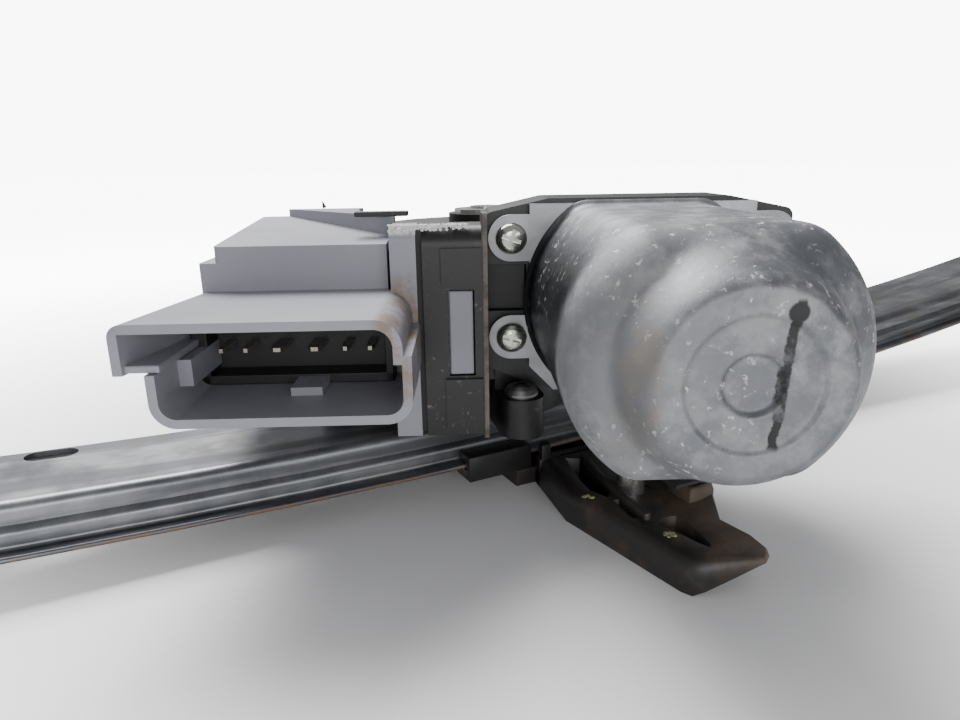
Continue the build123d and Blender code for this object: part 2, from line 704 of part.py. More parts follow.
def brushes():
    """The two carbon brushes."""
    solids = []
    for side in (-1, 1):
        x0, x1 = sorted((side * (COMMUTATOR_R + 0.1), side * 12.6))
        solid = block(MOTOR_X + x0, MOTOR_X + x1, BRUSH_Y0 + 0.1, BRUSH_Y1 - 0.1, MOTOR_Z - 2.5, MOTOR_Z + 2.5)
        solids.append(solid - barrel(BRUSH_Y0, BRUSH_Y1, COMMUTATOR_R + 0.1))
    return solids


def coil_spring(radius, wire, length, turns):
    """A helical spring along z from 0 to its length."""
    line = Helix((length - 2 * wire) / turns, length - 2 * wire, radius)
    section = Plane(line @ 0, z_dir=line % 0) * RegularPolygon(wire, 6)
    return Pos(0, 0, wire) * sweep(section, path=line, is_frenet=True)


def brush_springs():
    """The springs that press the brushes on the commutator."""
    solids = []
    middle = (BRUSH_Y0 + BRUSH_Y1) / 2
    for side in (-1, 1):
        place = Plane((MOTOR_X + side * 12.6, middle, MOTOR_Z), z_dir=(side, 0, 0))
        solids.append(Location(place) * coil_spring(1.2, 0.25, 3.4, 4))
    return solids


def gear_housing():
    """The moulded housing: wheel pan, worm tube, brush case, module socket, rim and screw ears."""
    body = upright(0, 0, PAN_BASE_Z, PAN_TOP_Z, PAN_R)
    body = fillet(body.edges().sort_by(Axis.Z)[-1], 2.5)
    body += upright(0, 0, PAN_TOP_Z - 1, HUB_BOSS_Z, HUB_BOSS_R)
    body += barrel(BRUSH_CASE_BACK_Y - 1, TUBE_END_Y, WORM_TUBE_R)
    face_y = CAN_BACK_Y + CAN_FLANGE
    half_x = EAR_X + EAR_R
    outline = [
        (MOTOR_X - half_x - 0.6, MOTOR_Z - 15.5),
        (MOTOR_X - 16.0, MOTOR_Z - 22.0),
        (MOTOR_X + 16.0, MOTOR_Z - 22.0),
        (MOTOR_X + half_x, MOTOR_Z - 14.0),
        (MOTOR_X + half_x, MOTOR_Z + 18.5),
        (MOTOR_X + 19.0, MOTOR_Z + 21.4),
        (MOTOR_X - 20.0, MOTOR_Z + 21.4),
        (MOTOR_X - half_x - 0.6, MOTOR_Z + 18.5),
    ]
    case = Plane.XZ * make_face(Polyline(*outline, close=True))
    case = extrude(case, BRUSH_CASE_BACK_Y - face_y, dir=(0, 1, 0))
    body += rounded(Pos(0, face_y, 0) * case, Axis.Y, 2.0)
    for angle in LUG_ANGLES:
        ear = block(PAN_R - 4, LUG_CIRCLE, -LUG_R, LUG_R, LUG_TOP, LUG_TOP + EAR_THICK)
        ear += upright(LUG_CIRCLE, 0, LUG_TOP, LUG_TOP + EAR_THICK, LUG_R)
        ear += block(PAN_R - 4, PAN_R, -LUG_R, LUG_R, LUG_TOP, PAN_BASE_Z + 8)
        body += Rot(0, 0, angle) * ear
    socket = block(SOCKET_LEFT_X, SOCKET_RIGHT_X, SOCKET_FRONT_Y, SOCKET_BACK_Y, SOCKET_BASE_Z, SOCKET_TOP_Z)
    body += fillet(socket.edges().filter_by(Axis.X).sort_by(Axis.Z)[-2:].sort_by(Axis.Y)[0], 4.0)
    body += block(SOCKET_RIGHT_X, SOCKET_RIGHT_X + 1.2, SOCKET_FRONT_Y, face_y + 1, SOCKET_BASE_Z - 0.8, SOCKET_TOP_Z + 2.5)
    body += block(LATCH_X0 - 1.2, SOCKET_RIGHT_X, SOCKET_FRONT_Y - 0.8, SOCKET_FRONT_Y, LATCH_Z1 + 1, MOTOR_Z + 12.4)
    body += block(LATCH_X0 - 0.8, SOCKET_RIGHT_X, SOCKET_FRONT_Y - 0.8, SOCKET_FRONT_Y, SOCKET_BASE_Z + 1.5, LATCH_Z0 - 0.6)
    # rooms inside
    body -= upright(0, 0, PAN_BASE_Z, PAN_TOP_Z - PAN_ROOF, PAN_R - PAN_WALL)
    body -= upright(0, 0, 0, PAN_BASE_Z, DRUM_FLANGE_R + ROOM + DRUM_WALL + ROOM)
    body -= barrel(face_y, BRUSH_ROOM_Y, BRUSH_ROOM_R)
    body -= barrel(BRUSH_ROOM_Y, BRUSH_CASE_BACK_Y, BUSH_R)
    body -= barrel(BRUSH_CASE_BACK_Y, TUBE_END_Y, WORM_BORE_R)
    body -= upright(0, 0, PAN_TOP_Z - PAN_ROOF, HUB_BOSS_Z, AXLE_PIN_R)
    room_x0 = SOCKET_LEFT_X
    body -= block(
        room_x0,
        SOCKET_RIGHT_X - SOCKET_WALL,
        SOCKET_FRONT_Y + SOCKET_WALL,
        SOCKET_BACK_Y - SOCKET_WALL,
        SOCKET_BASE_Z + SOCKET_WALL,
        SOCKET_TOP_Z - SOCKET_WALL,
    )
    body -= block(LATCH_X0, LATCH_X1, SOCKET_FRONT_Y - 1, SOCKET_FRONT_Y + SOCKET_WALL, LATCH_Z0, LATCH_Z1)
    body -= block(SOCKET_RIGHT_X + 1.2, MOTOR_X - EAR_X + 3.4, face_y, face_y + 6, MOTOR_Z - 2.6, MOTOR_Z + 7.6)
    for angle in LUG_ANGLES:
        body -= Rot(0, 0, angle) * upright(LUG_CIRCLE, 0, LUG_TOP, LUG_TOP + EAR_THICK, UNIT_SCREW_R)
    for side in (-1, 1):
        for z in EAR_Z:
            hole = Cylinder(CAN_SCREW_R, 9, align=LOW)
            place = Plane((MOTOR_X + side * EAR_X, face_y, MOTOR_Z + z), z_dir=(0, 1, 0))
            body -= Location(place) * hole
    return body


def gear_cover():
    """The lid under the wheel, with a spigot in the pan and a hole for the driver."""
    body = upright(0, 0, PAN_BASE_Z, PAN_BASE_Z + COVER_THICK, PAN_R - PAN_WALL)
    body += upright(0, 0, PAN_BASE_Z, PAN_BASE_Z + 3.4, PAN_R - PAN_WALL, PAN_R - PAN_WALL - 1.6)
    return body - upright(0, 0, 0, PAN_TOP_Z, DRIVER_FLAT / math.cos(math.radians(30)) + ROOM)


def unit_screws():
    """The three screws that hold the geared motor on the drum housing."""
    solids = []
    for angle in LUG_ANGLES:
        x, y = lug_place(angle)
        solids.append(Pos(x, y, LUG_TOP + EAR_THICK) * pan_head_screw(3.8, UNIT_SCREW_R, 7.6))
    return solids


def module_plan(x0, y0):
    """The module box's plan, cut back where the wheel pan stands."""
    plan = [(x0, y0), (STRIP_LEFT_X, y0), (STRIP_LEFT_X, MODULE_BACK_Y), (x0, MODULE_BACK_Y)]
    return make_face(Polyline(*plan, close=True))


def module_case():
    """The module's moulding: connector hood, circuit box, collar at the pan, flange and plug."""
    side_view = [
        (MODULE_FRONT_Y, MODULE_BASE_Z),
        (MODULE_FRONT_Y, MODULE_TOP_Z),
        (MODULE_BACK_Y, MODULE_TOP_Z + MODULE_TOP_RISE),
        (MODULE_BACK_Y, MODULE_BASE_Z),
    ]
    outline = Plane.YZ * make_face(Polyline(*side_view, close=True))
    box = Pos(MODULE_LEFT_X, 0, 0) * extrude(outline, STRIP_LEFT_X - MODULE_LEFT_X)
    box = fillet(box.edges().sort_by(Axis.X)[:6].filter_by(Axis.Z), 1.2)
    step = block(MODULE_STEP_X, MODULE_LEFT_X + 2, MODULE_FRONT_Y, MODULE_BACK_Y - 6, MODULE_BASE_Z, MODULE_STEP_Z)
    body = box + rounded(step, Axis.Z, 1.0)
    collar = [(STRIP_LEFT_X, -28.0), (-51.0, MODULE_BACK_Y), (STRIP_LEFT_X, MODULE_BACK_Y)]
    body += prism(collar, MODULE_TOP_Z - 2, COLLAR_TOP_Z)
    body -= upright(0, 0, 0, COLLAR_TOP_Z + 1, PAN_R + PAN_CLEAR)
    # connector hood: a tub below and a wider canopy above
    tub = block(TUB_LEFT_X, TUB_RIGHT_X, HOOD_MOUTH_Y, MODULE_FRONT_Y, TUB_BASE_Z, HOOD_SPLIT_Z + 2.5)
    low_edges = tub.edges().filter_by(Axis.Y).sort_by(Axis.Z)[:2]
    tub = fillet(low_edges, 4.6)
    canopy = prism(
        [
            (HOOD_LEFT_MOUTH_X, HOOD_MOUTH_Y),
            (HOOD_RIGHT_X, HOOD_MOUTH_Y),
            (HOOD_RIGHT_X, MODULE_FRONT_Y),
            (HOOD_LEFT_BACK_X, MODULE_FRONT_Y),
        ],
        HOOD_SPLIT_Z,
        HOOD_TOP_Z,
    )
    top_edges = canopy.edges().filter_by(lambda e: abs(e.tangent_at(0.5).Y) > 0.9).sort_by(Axis.Z)[-2:]
    canopy = fillet(top_edges.sort_by(Axis.X)[0], 2.4)
    top_edges = canopy.edges().filter_by(Axis.Y).sort_by(Axis.Z)[-1]
    canopy = fillet(top_edges, 5.0)
    body += tub + canopy
    w = HOOD_WALL
    tub_room = block(TUB_LEFT_X + w, TUB_RIGHT_X - w, HOOD_MOUTH_Y, HOOD_FLOOR_Y, TUB_BASE_Z + w, HOOD_SPLIT_Z + 1)
    tub_room = fillet(tub_room.edges().filter_by(Axis.Y).sort_by(Axis.Z)[:2], 4.6 - w)
    canopy_room = prism(
        [
            (HOOD_LEFT_MOUTH_X + w, HOOD_MOUTH_Y),
            (HOOD_RIGHT_X - w, HOOD_MOUTH_Y),
            (HOOD_RIGHT_X - w, HOOD_FLOOR_Y),
            (HOOD_LEFT_BACK_X + w, HOOD_FLOOR_Y),
        ],
        HOOD_SPLIT_Z,
        HOOD_TOP_Z - w,
    )
    right_top = canopy_room.edges().filter_by(Axis.Y).sort_by(Axis.Z)[-1]
    canopy_room = fillet(right_top, 5.0 - w)
    body -= tub_room + canopy_room
    body += block(-39.4, -33.4, HOOD_MOUTH_Y + 12, HOOD_FLOOR_Y, TUB_BASE_Z + w, TUB_BASE_Z + w + 1.6)
    body += block(TUB_LEFT_X + w, TUB_LEFT_X + w + 2.6, HOOD_MOUTH_Y + 10, HOOD_FLOOR_Y, TUB_BASE_Z + w + 3, HOOD_SPLIT_Z)
    # flange and plug, and the rooms behind them
    body -= block(SEAL_LEFT_X, TUB_RIGHT_X + 1, SOCKET_FRONT_Y - SEAT, MODULE_FRONT_Y, SOCKET_BASE_Z, SOCKET_TOP_Z)
    strip = block(STRIP_LEFT_X, SEAL_LEFT_X, SOCKET_FRONT_Y, SOCKET_BACK_Y, SOCKET_BASE_Z, SOCKET_TOP_Z)
    body += fillet(strip.edges().filter_by(Axis.X).sort_by(Axis.Z)[-2:].sort_by(Axis.Y)[0], 3.0)
    plug = block(SEAL_LEFT_X, PLUG_END_X, PLUG_Y0, PLUG_Y1, PLUG_Z0, PLUG_Z1)
    plug += block(
        LATCH_X0 + SEAT, PLUG_END_X, PLUG_Y0 - 1.0, PLUG_Y0, LATCH_Z0 + SEAT, LATCH_Z1 - SEAT
    )
    body += plug
    wall = MODULE_WALL
    room = prism(
        [
            (MODULE_LEFT_X + wall, MODULE_FRONT_Y + wall),
            (STRIP_LEFT_X, MODULE_FRONT_Y + wall),
            (STRIP_LEFT_X, MODULE_BACK_Y - wall),
            (MODULE_LEFT_X + wall, MODULE_BACK_Y - wall),
        ],
        MODULE_BASE_Z,
        MODULE_TOP_Z - wall,
    )
    body -= room - upright(0, 0, 0, MODULE_TOP_Z, PAN_R + PAN_CLEAR + wall)
    body -= block(STRIP_LEFT_X - 1, PLUG_END_X - 1.4, PLUG_Y0 + 1.4, PLUG_Y1 - 1.0, 20.0, PLUG_Z1 - 1.4)
    for x, width in blade_places():
        slot = block(x - width / 2, x + width / 2, HOOD_FLOOR_Y, MODULE_FRONT_Y + wall + 1, BLADE_LOW_Z, BLADE_HIGH_Z)
        body -= slot
    return body


def blade_places():
    """Each blade's place across the connector, with its width."""
    small = [(x, SMALL_BLADE_WIDTH) for x in SMALL_BLADE_X]
    return small + [(x, LARGE_BLADE_WIDTH) for x in LARGE_BLADE_X]


def blade(x, width):
    """A blade with a pointed tip, through the floor and bent down onto the board."""
    plan = [
        (x - width / 2, BLADE_TIP_Y + 1.2),
        (x - width / 4, BLADE_TIP_Y),
        (x + width / 4, BLADE_TIP_Y),
        (x + width / 2, BLADE_TIP_Y + 1.2),
        (x + width / 2, BLADE_BACK_Y),
        (x - width / 2, BLADE_BACK_Y),
    ]
    leg = block(x - width / 2, x + width / 2, BLADE_BACK_Y - BLADE_THICK, BLADE_BACK_Y, BOARD_Z + BOARD_THICK, BLADE_LOW_Z)
    return prism(plan, BLADE_LOW_Z, BLADE_HIGH_Z) + leg


def circuit_board():
    """The board, with its tongue through the plug towards the brushes."""
    gap = 0.3
    wall = MODULE_WALL
    main = [
        (MODULE_LEFT_X + wall + gap, MODULE_FRONT_Y + wall + gap),
        (STRIP_LEFT_X - 1, MODULE_FRONT_Y + wall + gap),
        (STRIP_LEFT_X - 1, MODULE_BACK_Y - wall - gap),
        (MODULE_LEFT_X + wall + gap, MODULE_BACK_Y - wall - gap),
    ]
    top = BOARD_Z + BOARD_THICK
    body = prism(main, BOARD_Z, top) - upright(0, 0, 0, 60, PAN_R + PAN_CLEAR + wall + gap)
    far = PLUG_Y1 - 1.3
    body += block(STRIP_LEFT_X - 4, STRIP_LEFT_X, MODULE_FRONT_Y + wall + gap, far, BOARD_Z, top)
    return body + block(STRIP_LEFT_X - 0.6, PLUG_END_X - 1.8, PLUG_Y0 + 1.8, far, BOARD_Z, top)


def relays():
    """The two relays on the board that drive the motor each way."""
    top = BOARD_Z + BOARD_THICK
    solids = []
    for y in (-28.4, -13.2):
        body = block(-54.5, -42.5, y, y + 14.5, top, top + 14)
        solids.append(chamfer(body.edges().filter_by(Axis.Z), 0.8))
    return solids


def module_seal():
    """The rubber frame between the module's flange and the socket."""
    seal = block(SEAL_LEFT_X, SOCKET_LEFT_X, PLUG_Y0 - 0.8, PLUG_Y1 + 0.8, PLUG_Z0 - 1.2, PLUG_Z1 + 1.2)
    return seal - block(SEAL_LEFT_X, SOCKET_LEFT_X, PLUG_Y0, PLUG_Y1, PLUG_Z0, PLUG_Z1)


def module_lid():
    """The flat lid in the module's open underside."""
    wall = MODULE_WALL
    plan = [
        (MODULE_LEFT_X + wall, MODULE_FRONT_Y + wall),
        (STRIP_LEFT_X, MODULE_FRONT_Y + wall),
        (STRIP_LEFT_X, MODULE_BACK_Y - wall),
        (MODULE_LEFT_X + wall, MODULE_BACK_Y - wall),
    ]
    lid = prism(plan, MODULE_BASE_Z, MODULE_BASE_Z + wall)
    return lid - upright(0, 0, 0, 60, PAN_R + PAN_CLEAR + wall)


def carrier():
    """The moulded carrier: a saddle in the rail's channel, a base plate and the glass arm."""
    base = CARRIER_PLATE_TOP
    s0 = CARRIER_AT - CARRIER_HALF
    s1 = CARRIER_AT + CARRIER_HALF
    section = [
        (-SHOE_OUT_Y, -24),
        (-SHOE_OUT_Y, base),
        (-12.6, base),
        (-12.6, CABLE_BULGE_Z),
        (-5.6, CABLE_BULGE_Z),
        (-4.4, SADDLE_TOP_Z),
        (12.6, SADDLE_TOP_Z),
        (12.6, base),
        (SHOE_OUT_Y, base),
        (SHOE_OUT_Y, -24),
    ]
    body = along_arch(make_face(Polyline(*section, close=True)), s0, s1)
    arm = prism(ARM_OUTLINE, CARRIER_BASE_Z, ARM_TOP_Z)
    corners = arm.edges().filter_by(Axis.Z).sort_by(Axis.Y)
    arm = fillet(corners[:3], 4.0)
    wall = prism(ARM_WALL_OUTLINE, CARRIER_BASE_Z, ARM_TOP_Z + 3.6)
    shoe_room = block(-40, 60, RAIL_SHIFT_Y - SHOE_OUT_Y - SEAT, 0, CARRIER_PLATE_TOP - 0.4, 5)
    body += arm + wall - shoe_room
    body = body & block(-100, 140, -100, 60, CARRIER_BASE_Z, 0)
    # cable and spring rooms
    body -= along_arch(Pos(-PULLEY_R, -CABLE_DEPTH) * Circle(CABLE_R + CABLE_ROOM), s0 - 1, s1 + 1)
    pocket = Pos(-PULLEY_R - 0.4, -CABLE_DEPTH + 1) * Rectangle(6.4, 7.4)
    for a, b in (NIPPLE_SPAN_LEFT, NIPPLE_SPAN_RIGHT):
        body -= along_arch(pocket, CARRIER_AT + a, CARRIER_AT + b)
    # arm: clamp seat, pockets and the long hole
    body -= block(CLAMP_X0, 40, CLAMP_Y0 - SEAT, CLAMP_Y1 + SEAT, CLAMP_FLOOR_Z, 5)
    body -= rounded(block(6, 26, -36.5, -26, -14.2, 5), Axis.Z, 1.5)
    body += block(15.2, 16.8, -37, -25.5, -16, ARM_TOP_Z)
    body -= prism(HOLE_OUTLINE, CARRIER_BASE_Z - 1, 5)
    body -= upright(CLAMP_SCREW_X, CLAMP_SCREW_Y, CARRIER_BASE_Z, 5, CLAMP_SCREW_R + 0.2)
    nut_room = Rot(0, 0, 0) * extrude(RegularPolygon(NUT_FLAT + 0.1, 6, major_radius=False), NUT_THICK + 0.3)
    return body - Pos(CLAMP_SCREW_X, CLAMP_SCREW_Y, CARRIER_BASE_Z) * nut_room


def guide_shoes():
    """The four low-friction shoes that hold the carrier on the rail's lips."""
    foot = WEB_HALF + STEP_OUT
    edge = foot + LIP + 0.2 + SEAT + 0.15
    top = SHEET - WALL_DEPTH + 0.35
    low = -WALL_DEPTH - 0.35
    solids = []
    for side in (-1, 1):
        section = [
            (side * (foot - 1.5), CARRIER_PLATE_TOP),
            (side * SHOE_OUT_Y, CARRIER_PLATE_TOP),
            (side * SHOE_OUT_Y, top + SHOE_WALL),
            (side * (foot + 0.7), top + SHOE_WALL),
            (side * (foot + 0.7), top),
            (side * edge, top),
            (side * edge, low),
            (side * (foot - 1.5), low),
        ]
        face = make_face(Polyline(*section, close=True))
        for s in (-SHOE_SPREAD, SHOE_SPREAD):
            middle = CARRIER_AT + s
            solids.append(along_arch(face, middle - SHOE_LENGTH / 2, middle + SHOE_LENGTH / 2))
    return solids


def cable_nipples():
    """The crimped barrels on the cables' ends, in the carrier's pockets."""
    ring = Pos(-PULLEY_R, -CABLE_DEPTH) * (Circle(NIPPLE_R) - Circle(CABLE_R + 0.1))
    inner = NIPPLE_SPAN_RIGHT[0]
    return [
        along_arch(ring, CARRIER_AT - inner - NIPPLE_LENGTH, CARRIER_AT - inner),
        along_arch(ring, CARRIER_AT + inner, CARRIER_AT + inner + NIPPLE_LENGTH),
    ]


def tension_springs():
    """The springs behind the nipples that keep the cables tight."""
    solids = []
    near = NIPPLE_SPAN_RIGHT[0] + NIPPLE_LENGTH
    length = NIPPLE_SPAN_RIGHT[1] - near
    spring = coil_spring(SPRING_R - SPRING_WIRE, SPRING_WIRE, length, SPRING_TURNS)
    for side in (-1, 1):
        place = on_rail(CARRIER_AT + side * near) * Pos(0, -PULLEY_R, -CABLE_DEPTH)
        solids.append(place * Rot(0, side * 90, 0) * spring)
    return solids


def clamp_jaw():
    """The upper jaw of the glass clamp, with its heel on the arm."""
    top = JAW_Z + JAW_THICK
    body = block(CLAMP_X0 + 0.4, CLAMP_X1, CLAMP_Y0, CLAMP_Y1, JAW_Z, top)
    body = rounded(body, Axis.Z, 2.0)
    body += block(CLAMP_X0 + 0.4, CLAMP_X0 + 3.4, CLAMP_Y0 + 2, CLAMP_Y1 - 2, CLAMP_FLOOR_Z, JAW_Z)
    return body - upright(CLAMP_SCREW_X, CLAMP_SCREW_Y, JAW_Z - 1, top + 1, CLAMP_SCREW_R + 0.2)


def clamp_pads():
    """The two rubber pads that grip the glass."""
    low = block(PAD_X0, CLAMP_X1, CLAMP_Y0 + 1, CLAMP_Y1 - 1, CLAMP_FLOOR_Z, CLAMP_FLOOR_Z + PAD_THICK)
    high = block(PAD_X0, CLAMP_X1, CLAMP_Y0 + 1, CLAMP_Y1 - 1, JAW_Z - PAD_THICK, JAW_Z)
    return [low, high]


def clamp_screw():
    """The clamp's screw, from the jaw down into its nut."""
    length = JAW_Z + JAW_THICK - CARRIER_BASE_Z - 0.4
    screw = pan_head_screw(CLAMP_SCREW_R + 2.2, CLAMP_SCREW_R, length)
    return Pos(CLAMP_SCREW_X, CLAMP_SCREW_Y, JAW_Z + JAW_THICK) * screw


def clamp_nut():
    """The hexagon nut trapped in the arm's underside."""
    body = extrude(RegularPolygon(NUT_FLAT, 6, major_radius=False), NUT_THICK)
    body -= Cylinder(CLAMP_SCREW_R, 3 * NUT_THICK)
    return Pos(CLAMP_SCREW_X, CLAMP_SCREW_Y, CARRIER_BASE_Z + 0.3) * body


# Places worked out from the driving dimensions
PAN_BASE_Z = DRUM_CASE_Z
WHEEL_HUB_TOP = PAN_TOP_Z - PAN_ROOF - SEAT
DRIVER_FLAT = 7.0
DRIVER_PLAY = 0.1
DRIVER_REACH = 5.0
DAMPER_R = 23.0
DOG_HEIGHT = 5.6
DOG_HALF = 2.4
HUB_PLATE_Z = MOTOR_Z - WHEEL_FACE / 2 - DOG_HEIGHT - 0.4 - 2.0
BOSS_SKIN = 2.2
SHAFT_REAR_Y = CAN_FRONT_Y - BOSS_H + BOSS_SKIN + 0.6
TUBE_PLUG_Y = 22.0
SHAFT_END_Y = TUBE_PLUG_Y - 0.3
MAGNET_Y0 = -79.0
MAGNET_Y1 = -43.0
CORE_Y0 = -76.0
CORE_Y1 = -47.0
COIL_HEAD = 5.5
SLOT_COUNT = 8
COMMUTATOR_Y0 = -40.5
COMMUTATOR_Y1 = -29.5
RING_MAGNET_Y0 = -29.0
RING_MAGNET_Y1 = -26.0
CARD_Y0 = -31.4
CARD_Y1 = -29.4
BRUSH_Y0 = -37.2
BRUSH_Y1 = -32.4
SEAL_LEFT_X = SOCKET_LEFT_X - SEAL_THICK
PLUG_END_X = SOCKET_RIGHT_X - SOCKET_WALL - SEAT
PLUG_Y0 = SOCKET_FRONT_Y + SOCKET_WALL + SEAT
PLUG_Y1 = SOCKET_BACK_Y - SOCKET_WALL - SEAT
PLUG_Z0 = SOCKET_BASE_Z + SOCKET_WALL + SEAT
PLUG_Z1 = SOCKET_TOP_Z - SOCKET_WALL - SEAT
BLADE_LOW_Z = BLADE_Z - BLADE_THICK / 2
BLADE_HIGH_Z = BLADE_Z + BLADE_THICK / 2
BLADE_BACK_Y = -31.0
CABLE_BULGE_Z = -2.9
SADDLE_TOP_Z = -6.7
SHOE_OUT_Y = WEB_HALF + STEP_OUT + LIP + 2.6
SHOE_SPREAD = 20.0
NIPPLE_SPAN_LEFT = (-27.0, -10.0)
NIPPLE_SPAN_RIGHT = (10.0, 27.0)
CLAMP_X0 = 2.6
CLAMP_X1 = 28.0
PAD_X0 = 14.0
JAW_Z = CLAMP_FLOOR_Z + 2 * PAD_THICK + GLASS_GAP
CLAMP_SCREW_X = 9.6
CLAMP_SCREW_Y = -50.5
CLAMP_SCREW_R = 3.0
NUT_FLAT = 5.0
NUT_THICK = 3.6
ARM_OUTLINE = [
    (2.2, -18.0),
    (-3.3, -44.5),
    (0.4, -68.0),
    (3.5, -80.0),
    (14.5, -84.0),
    (20.0, -78.0),
    (18.2, -69.0),
    (27.5, -60.0),
    (30.0, -40.0),
    (31.0, -18.0),
]
ARM_WALL_OUTLINE = [(2.2, -22.0), (-3.3, -44.5), (-1.4, -57.0), (1.0, -57.0), (-0.9, -44.5), (4.6, -22.0)]
HOLE_OUTLINE = [(4.9, -65.0), (7.6, -63.9), (10.3, -64.6), (10.0, -70.0), (8.0, -77.0), (6.4, -71.0)]

MOTOR_PLACE = Rot(0, 0, MOTOR_TURN)
PULLEY_S = (PULLEY_INSET - RAIL_LEFT, RAIL_RIGHT - PULLEY_INSET)
STOP_OFFSET = PULLEY_R + PULLEY_EDGE + 1.0 + STOP_LENGTH / 2
STOP_S = (PULLEY_S[0] + STOP_OFFSET, PULLEY_S[1] - STOP_OFFSET)
STUD_S = (STUD_INSET - RAIL_LEFT, RAIL_RIGHT - STUD_INSET)
RIVET_PLACES = [(side * RIVET_X, y) for side in (-1, 1) for y in (-RIVET_Y, RIVET_Y - 7)]


def make_parts():
    """Every node, in the working frame: its name and its solids."""
    bush_y = BRUSH_CASE_BACK_Y - 7.0
    boss_front = CAN_FRONT_Y - BOSS_H + BOSS_SKIN
    fixed = {
        "gear_housing": gear_housing(),
        "gear_cover": gear_cover(),
        "unit_screws": unit_screws(),
        "wheel_axle": upright(0, 0, AXLE_FOOT_Z, HUB_BOSS_Z + 1.6, AXLE_PIN_R),
        "axle_clip": upright(0, 0, HUB_BOSS_Z, HUB_BOSS_Z + 1.0, 8.0, AXLE_PIN_R),
        "motor_can": motor_can(),
        "can_screws": can_screws(),
        "magnets": magnets(),
        "rear_bush": barrel(boss_front + 0.8, boss_front + 8.0, BUSH_R, SHAFT_R + RUNNING),
        "rear_bush_clip": barrel(boss_front + 3.0, boss_front + 4.0, BOSS_TOP_R - CAN_SHEET, BUSH_R),
        "front_bush": barrel(bush_y, bush_y + 6.0, BUSH_R, SHAFT_R + RUNNING),
        "end_bush": barrel(13.0, 19.0, WORM_BORE_R, SHAFT_R + RUNNING),
        "thrust_plug": barrel(TUBE_PLUG_Y, TUBE_END_Y - 1.0, WORM_BORE_R),
        "brush_card": brush_card(),
        "brushes": brushes(),
        "brush_springs": brush_springs(),
        "module_case": module_case(),
        "module_lid": module_lid(),
        "module_seal": module_seal(),
        "circuit_board": circuit_board(),
        "relays": relays(),
        "small_blades": [blade(x, SMALL_BLADE_WIDTH) for x in SMALL_BLADE_X],
        "large_blades": [blade(x, LARGE_BLADE_WIDTH) for x in LARGE_BLADE_X],
        "worm_shaft": worm_shaft(),
        "armature_core": armature_core(),
        "windings": windings(),
        "commutator": commutator(),
        "ring_magnet": barrel(RING_MAGNET_Y0, RING_MAGNET_Y1, 5.5, SHAFT_R),
        "worm_wheel": worm_wheel(),
        "damper": damper(),
        "drive_hub": drive_hub(),
    }
    made = {name: placed(MOTOR_PLACE, shape) for name, shape in fixed.items()}
    made["rail"] = rail()
    made["rail_studs"] = [on_rail(s) * rail_stud() for s in STUD_S]
    made["pulley_axles"] = [on_rail(s) * pulley_axle() for s in PULLEY_S]
    made["left_pulley"] = on_rail(PULLEY_S[0]) * pulley()
    made["right_pulley"] = on_rail(PULLEY_S[1]) * pulley()
    made["stop_buffers"] = [on_rail(s) * rail_stop() for s in STOP_S]
    made["left_cable"] = cable(-1)
    made["right_cable"] = cable(1)
    made["drum_housing"] = drum_housing()
    made["housing_rivets"] = [on_rail(s) * Pos(0, y, 0) * rail_rivet() for s, y in RIVET_PLACES]
    made["cable_drum"] = cable_drum()
    made["cable_turns"] = cable_turns()
    made["carrier"] = carrier()
    made["guide_shoes"] = guide_shoes()
    made["cable_nipples"] = cable_nipples()
    made["tension_springs"] = tension_springs()
    made["clamp_jaw"] = clamp_jaw()
    made["clamp_pads"] = clamp_pads()
    made["clamp_screw"] = clamp_screw()
    made["clamp_nut"] = clamp_nut()
    return made


def placed(place, shape):
    """Moves one solid or a list of them."""
    if isinstance(shape, list):
        return [place * solid for solid in shape]
    return place * shape


def solids_of(shape):
    """The separate solids of a node."""
    if isinstance(shape, list):
        return [solid for item in shape for solid in item.solids()]
    return shape.solids()


AXLE_FOOT_Z = 0.6
parts = {name: solids_of(shape) for name, shape in make_parts().items()}
box = Compound([solid for solids in parts.values() for solid in solids]).bounding_box()
BASE_SHIFT = Vector(-round(box.center().X, 2), -round(box.center().Y, 2), -round(box.min.Z, 2))
os.makedirs("parts", exist_ok=True)
for name, solids in parts.items():
    moved = [Pos(BASE_SHIFT) * solid for solid in solids]
    whole = moved[0] if len(moved) == 1 else Compound(moved)
    export_step(whole, f"parts/{name}.step")
print("nodes", len(parts), "size", box.size, "shift", BASE_SHIFT)
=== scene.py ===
# %% [markdown]
# A car's window regulator: an arched steel rail, a geared motor with a plug-in control module, and a
# carrier that two cables pull along the rail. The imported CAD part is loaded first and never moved. Each
# cell then gives one piece its shape or its finish.

# %% Load the frame
import math

import bmesh
import bpy
from mathutils import Euler, Matrix, Vector


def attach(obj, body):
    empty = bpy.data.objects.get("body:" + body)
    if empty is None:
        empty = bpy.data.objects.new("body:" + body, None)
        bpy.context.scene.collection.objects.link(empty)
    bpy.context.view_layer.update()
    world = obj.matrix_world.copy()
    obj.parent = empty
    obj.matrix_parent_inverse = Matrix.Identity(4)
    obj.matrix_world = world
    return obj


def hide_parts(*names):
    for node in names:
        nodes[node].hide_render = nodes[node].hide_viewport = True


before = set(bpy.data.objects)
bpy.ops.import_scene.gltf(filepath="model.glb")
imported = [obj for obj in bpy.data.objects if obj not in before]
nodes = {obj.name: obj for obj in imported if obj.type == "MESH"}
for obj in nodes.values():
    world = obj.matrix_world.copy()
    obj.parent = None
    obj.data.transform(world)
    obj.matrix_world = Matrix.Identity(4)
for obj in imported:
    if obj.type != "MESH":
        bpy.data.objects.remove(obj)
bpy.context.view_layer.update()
scene = bpy.context.scene

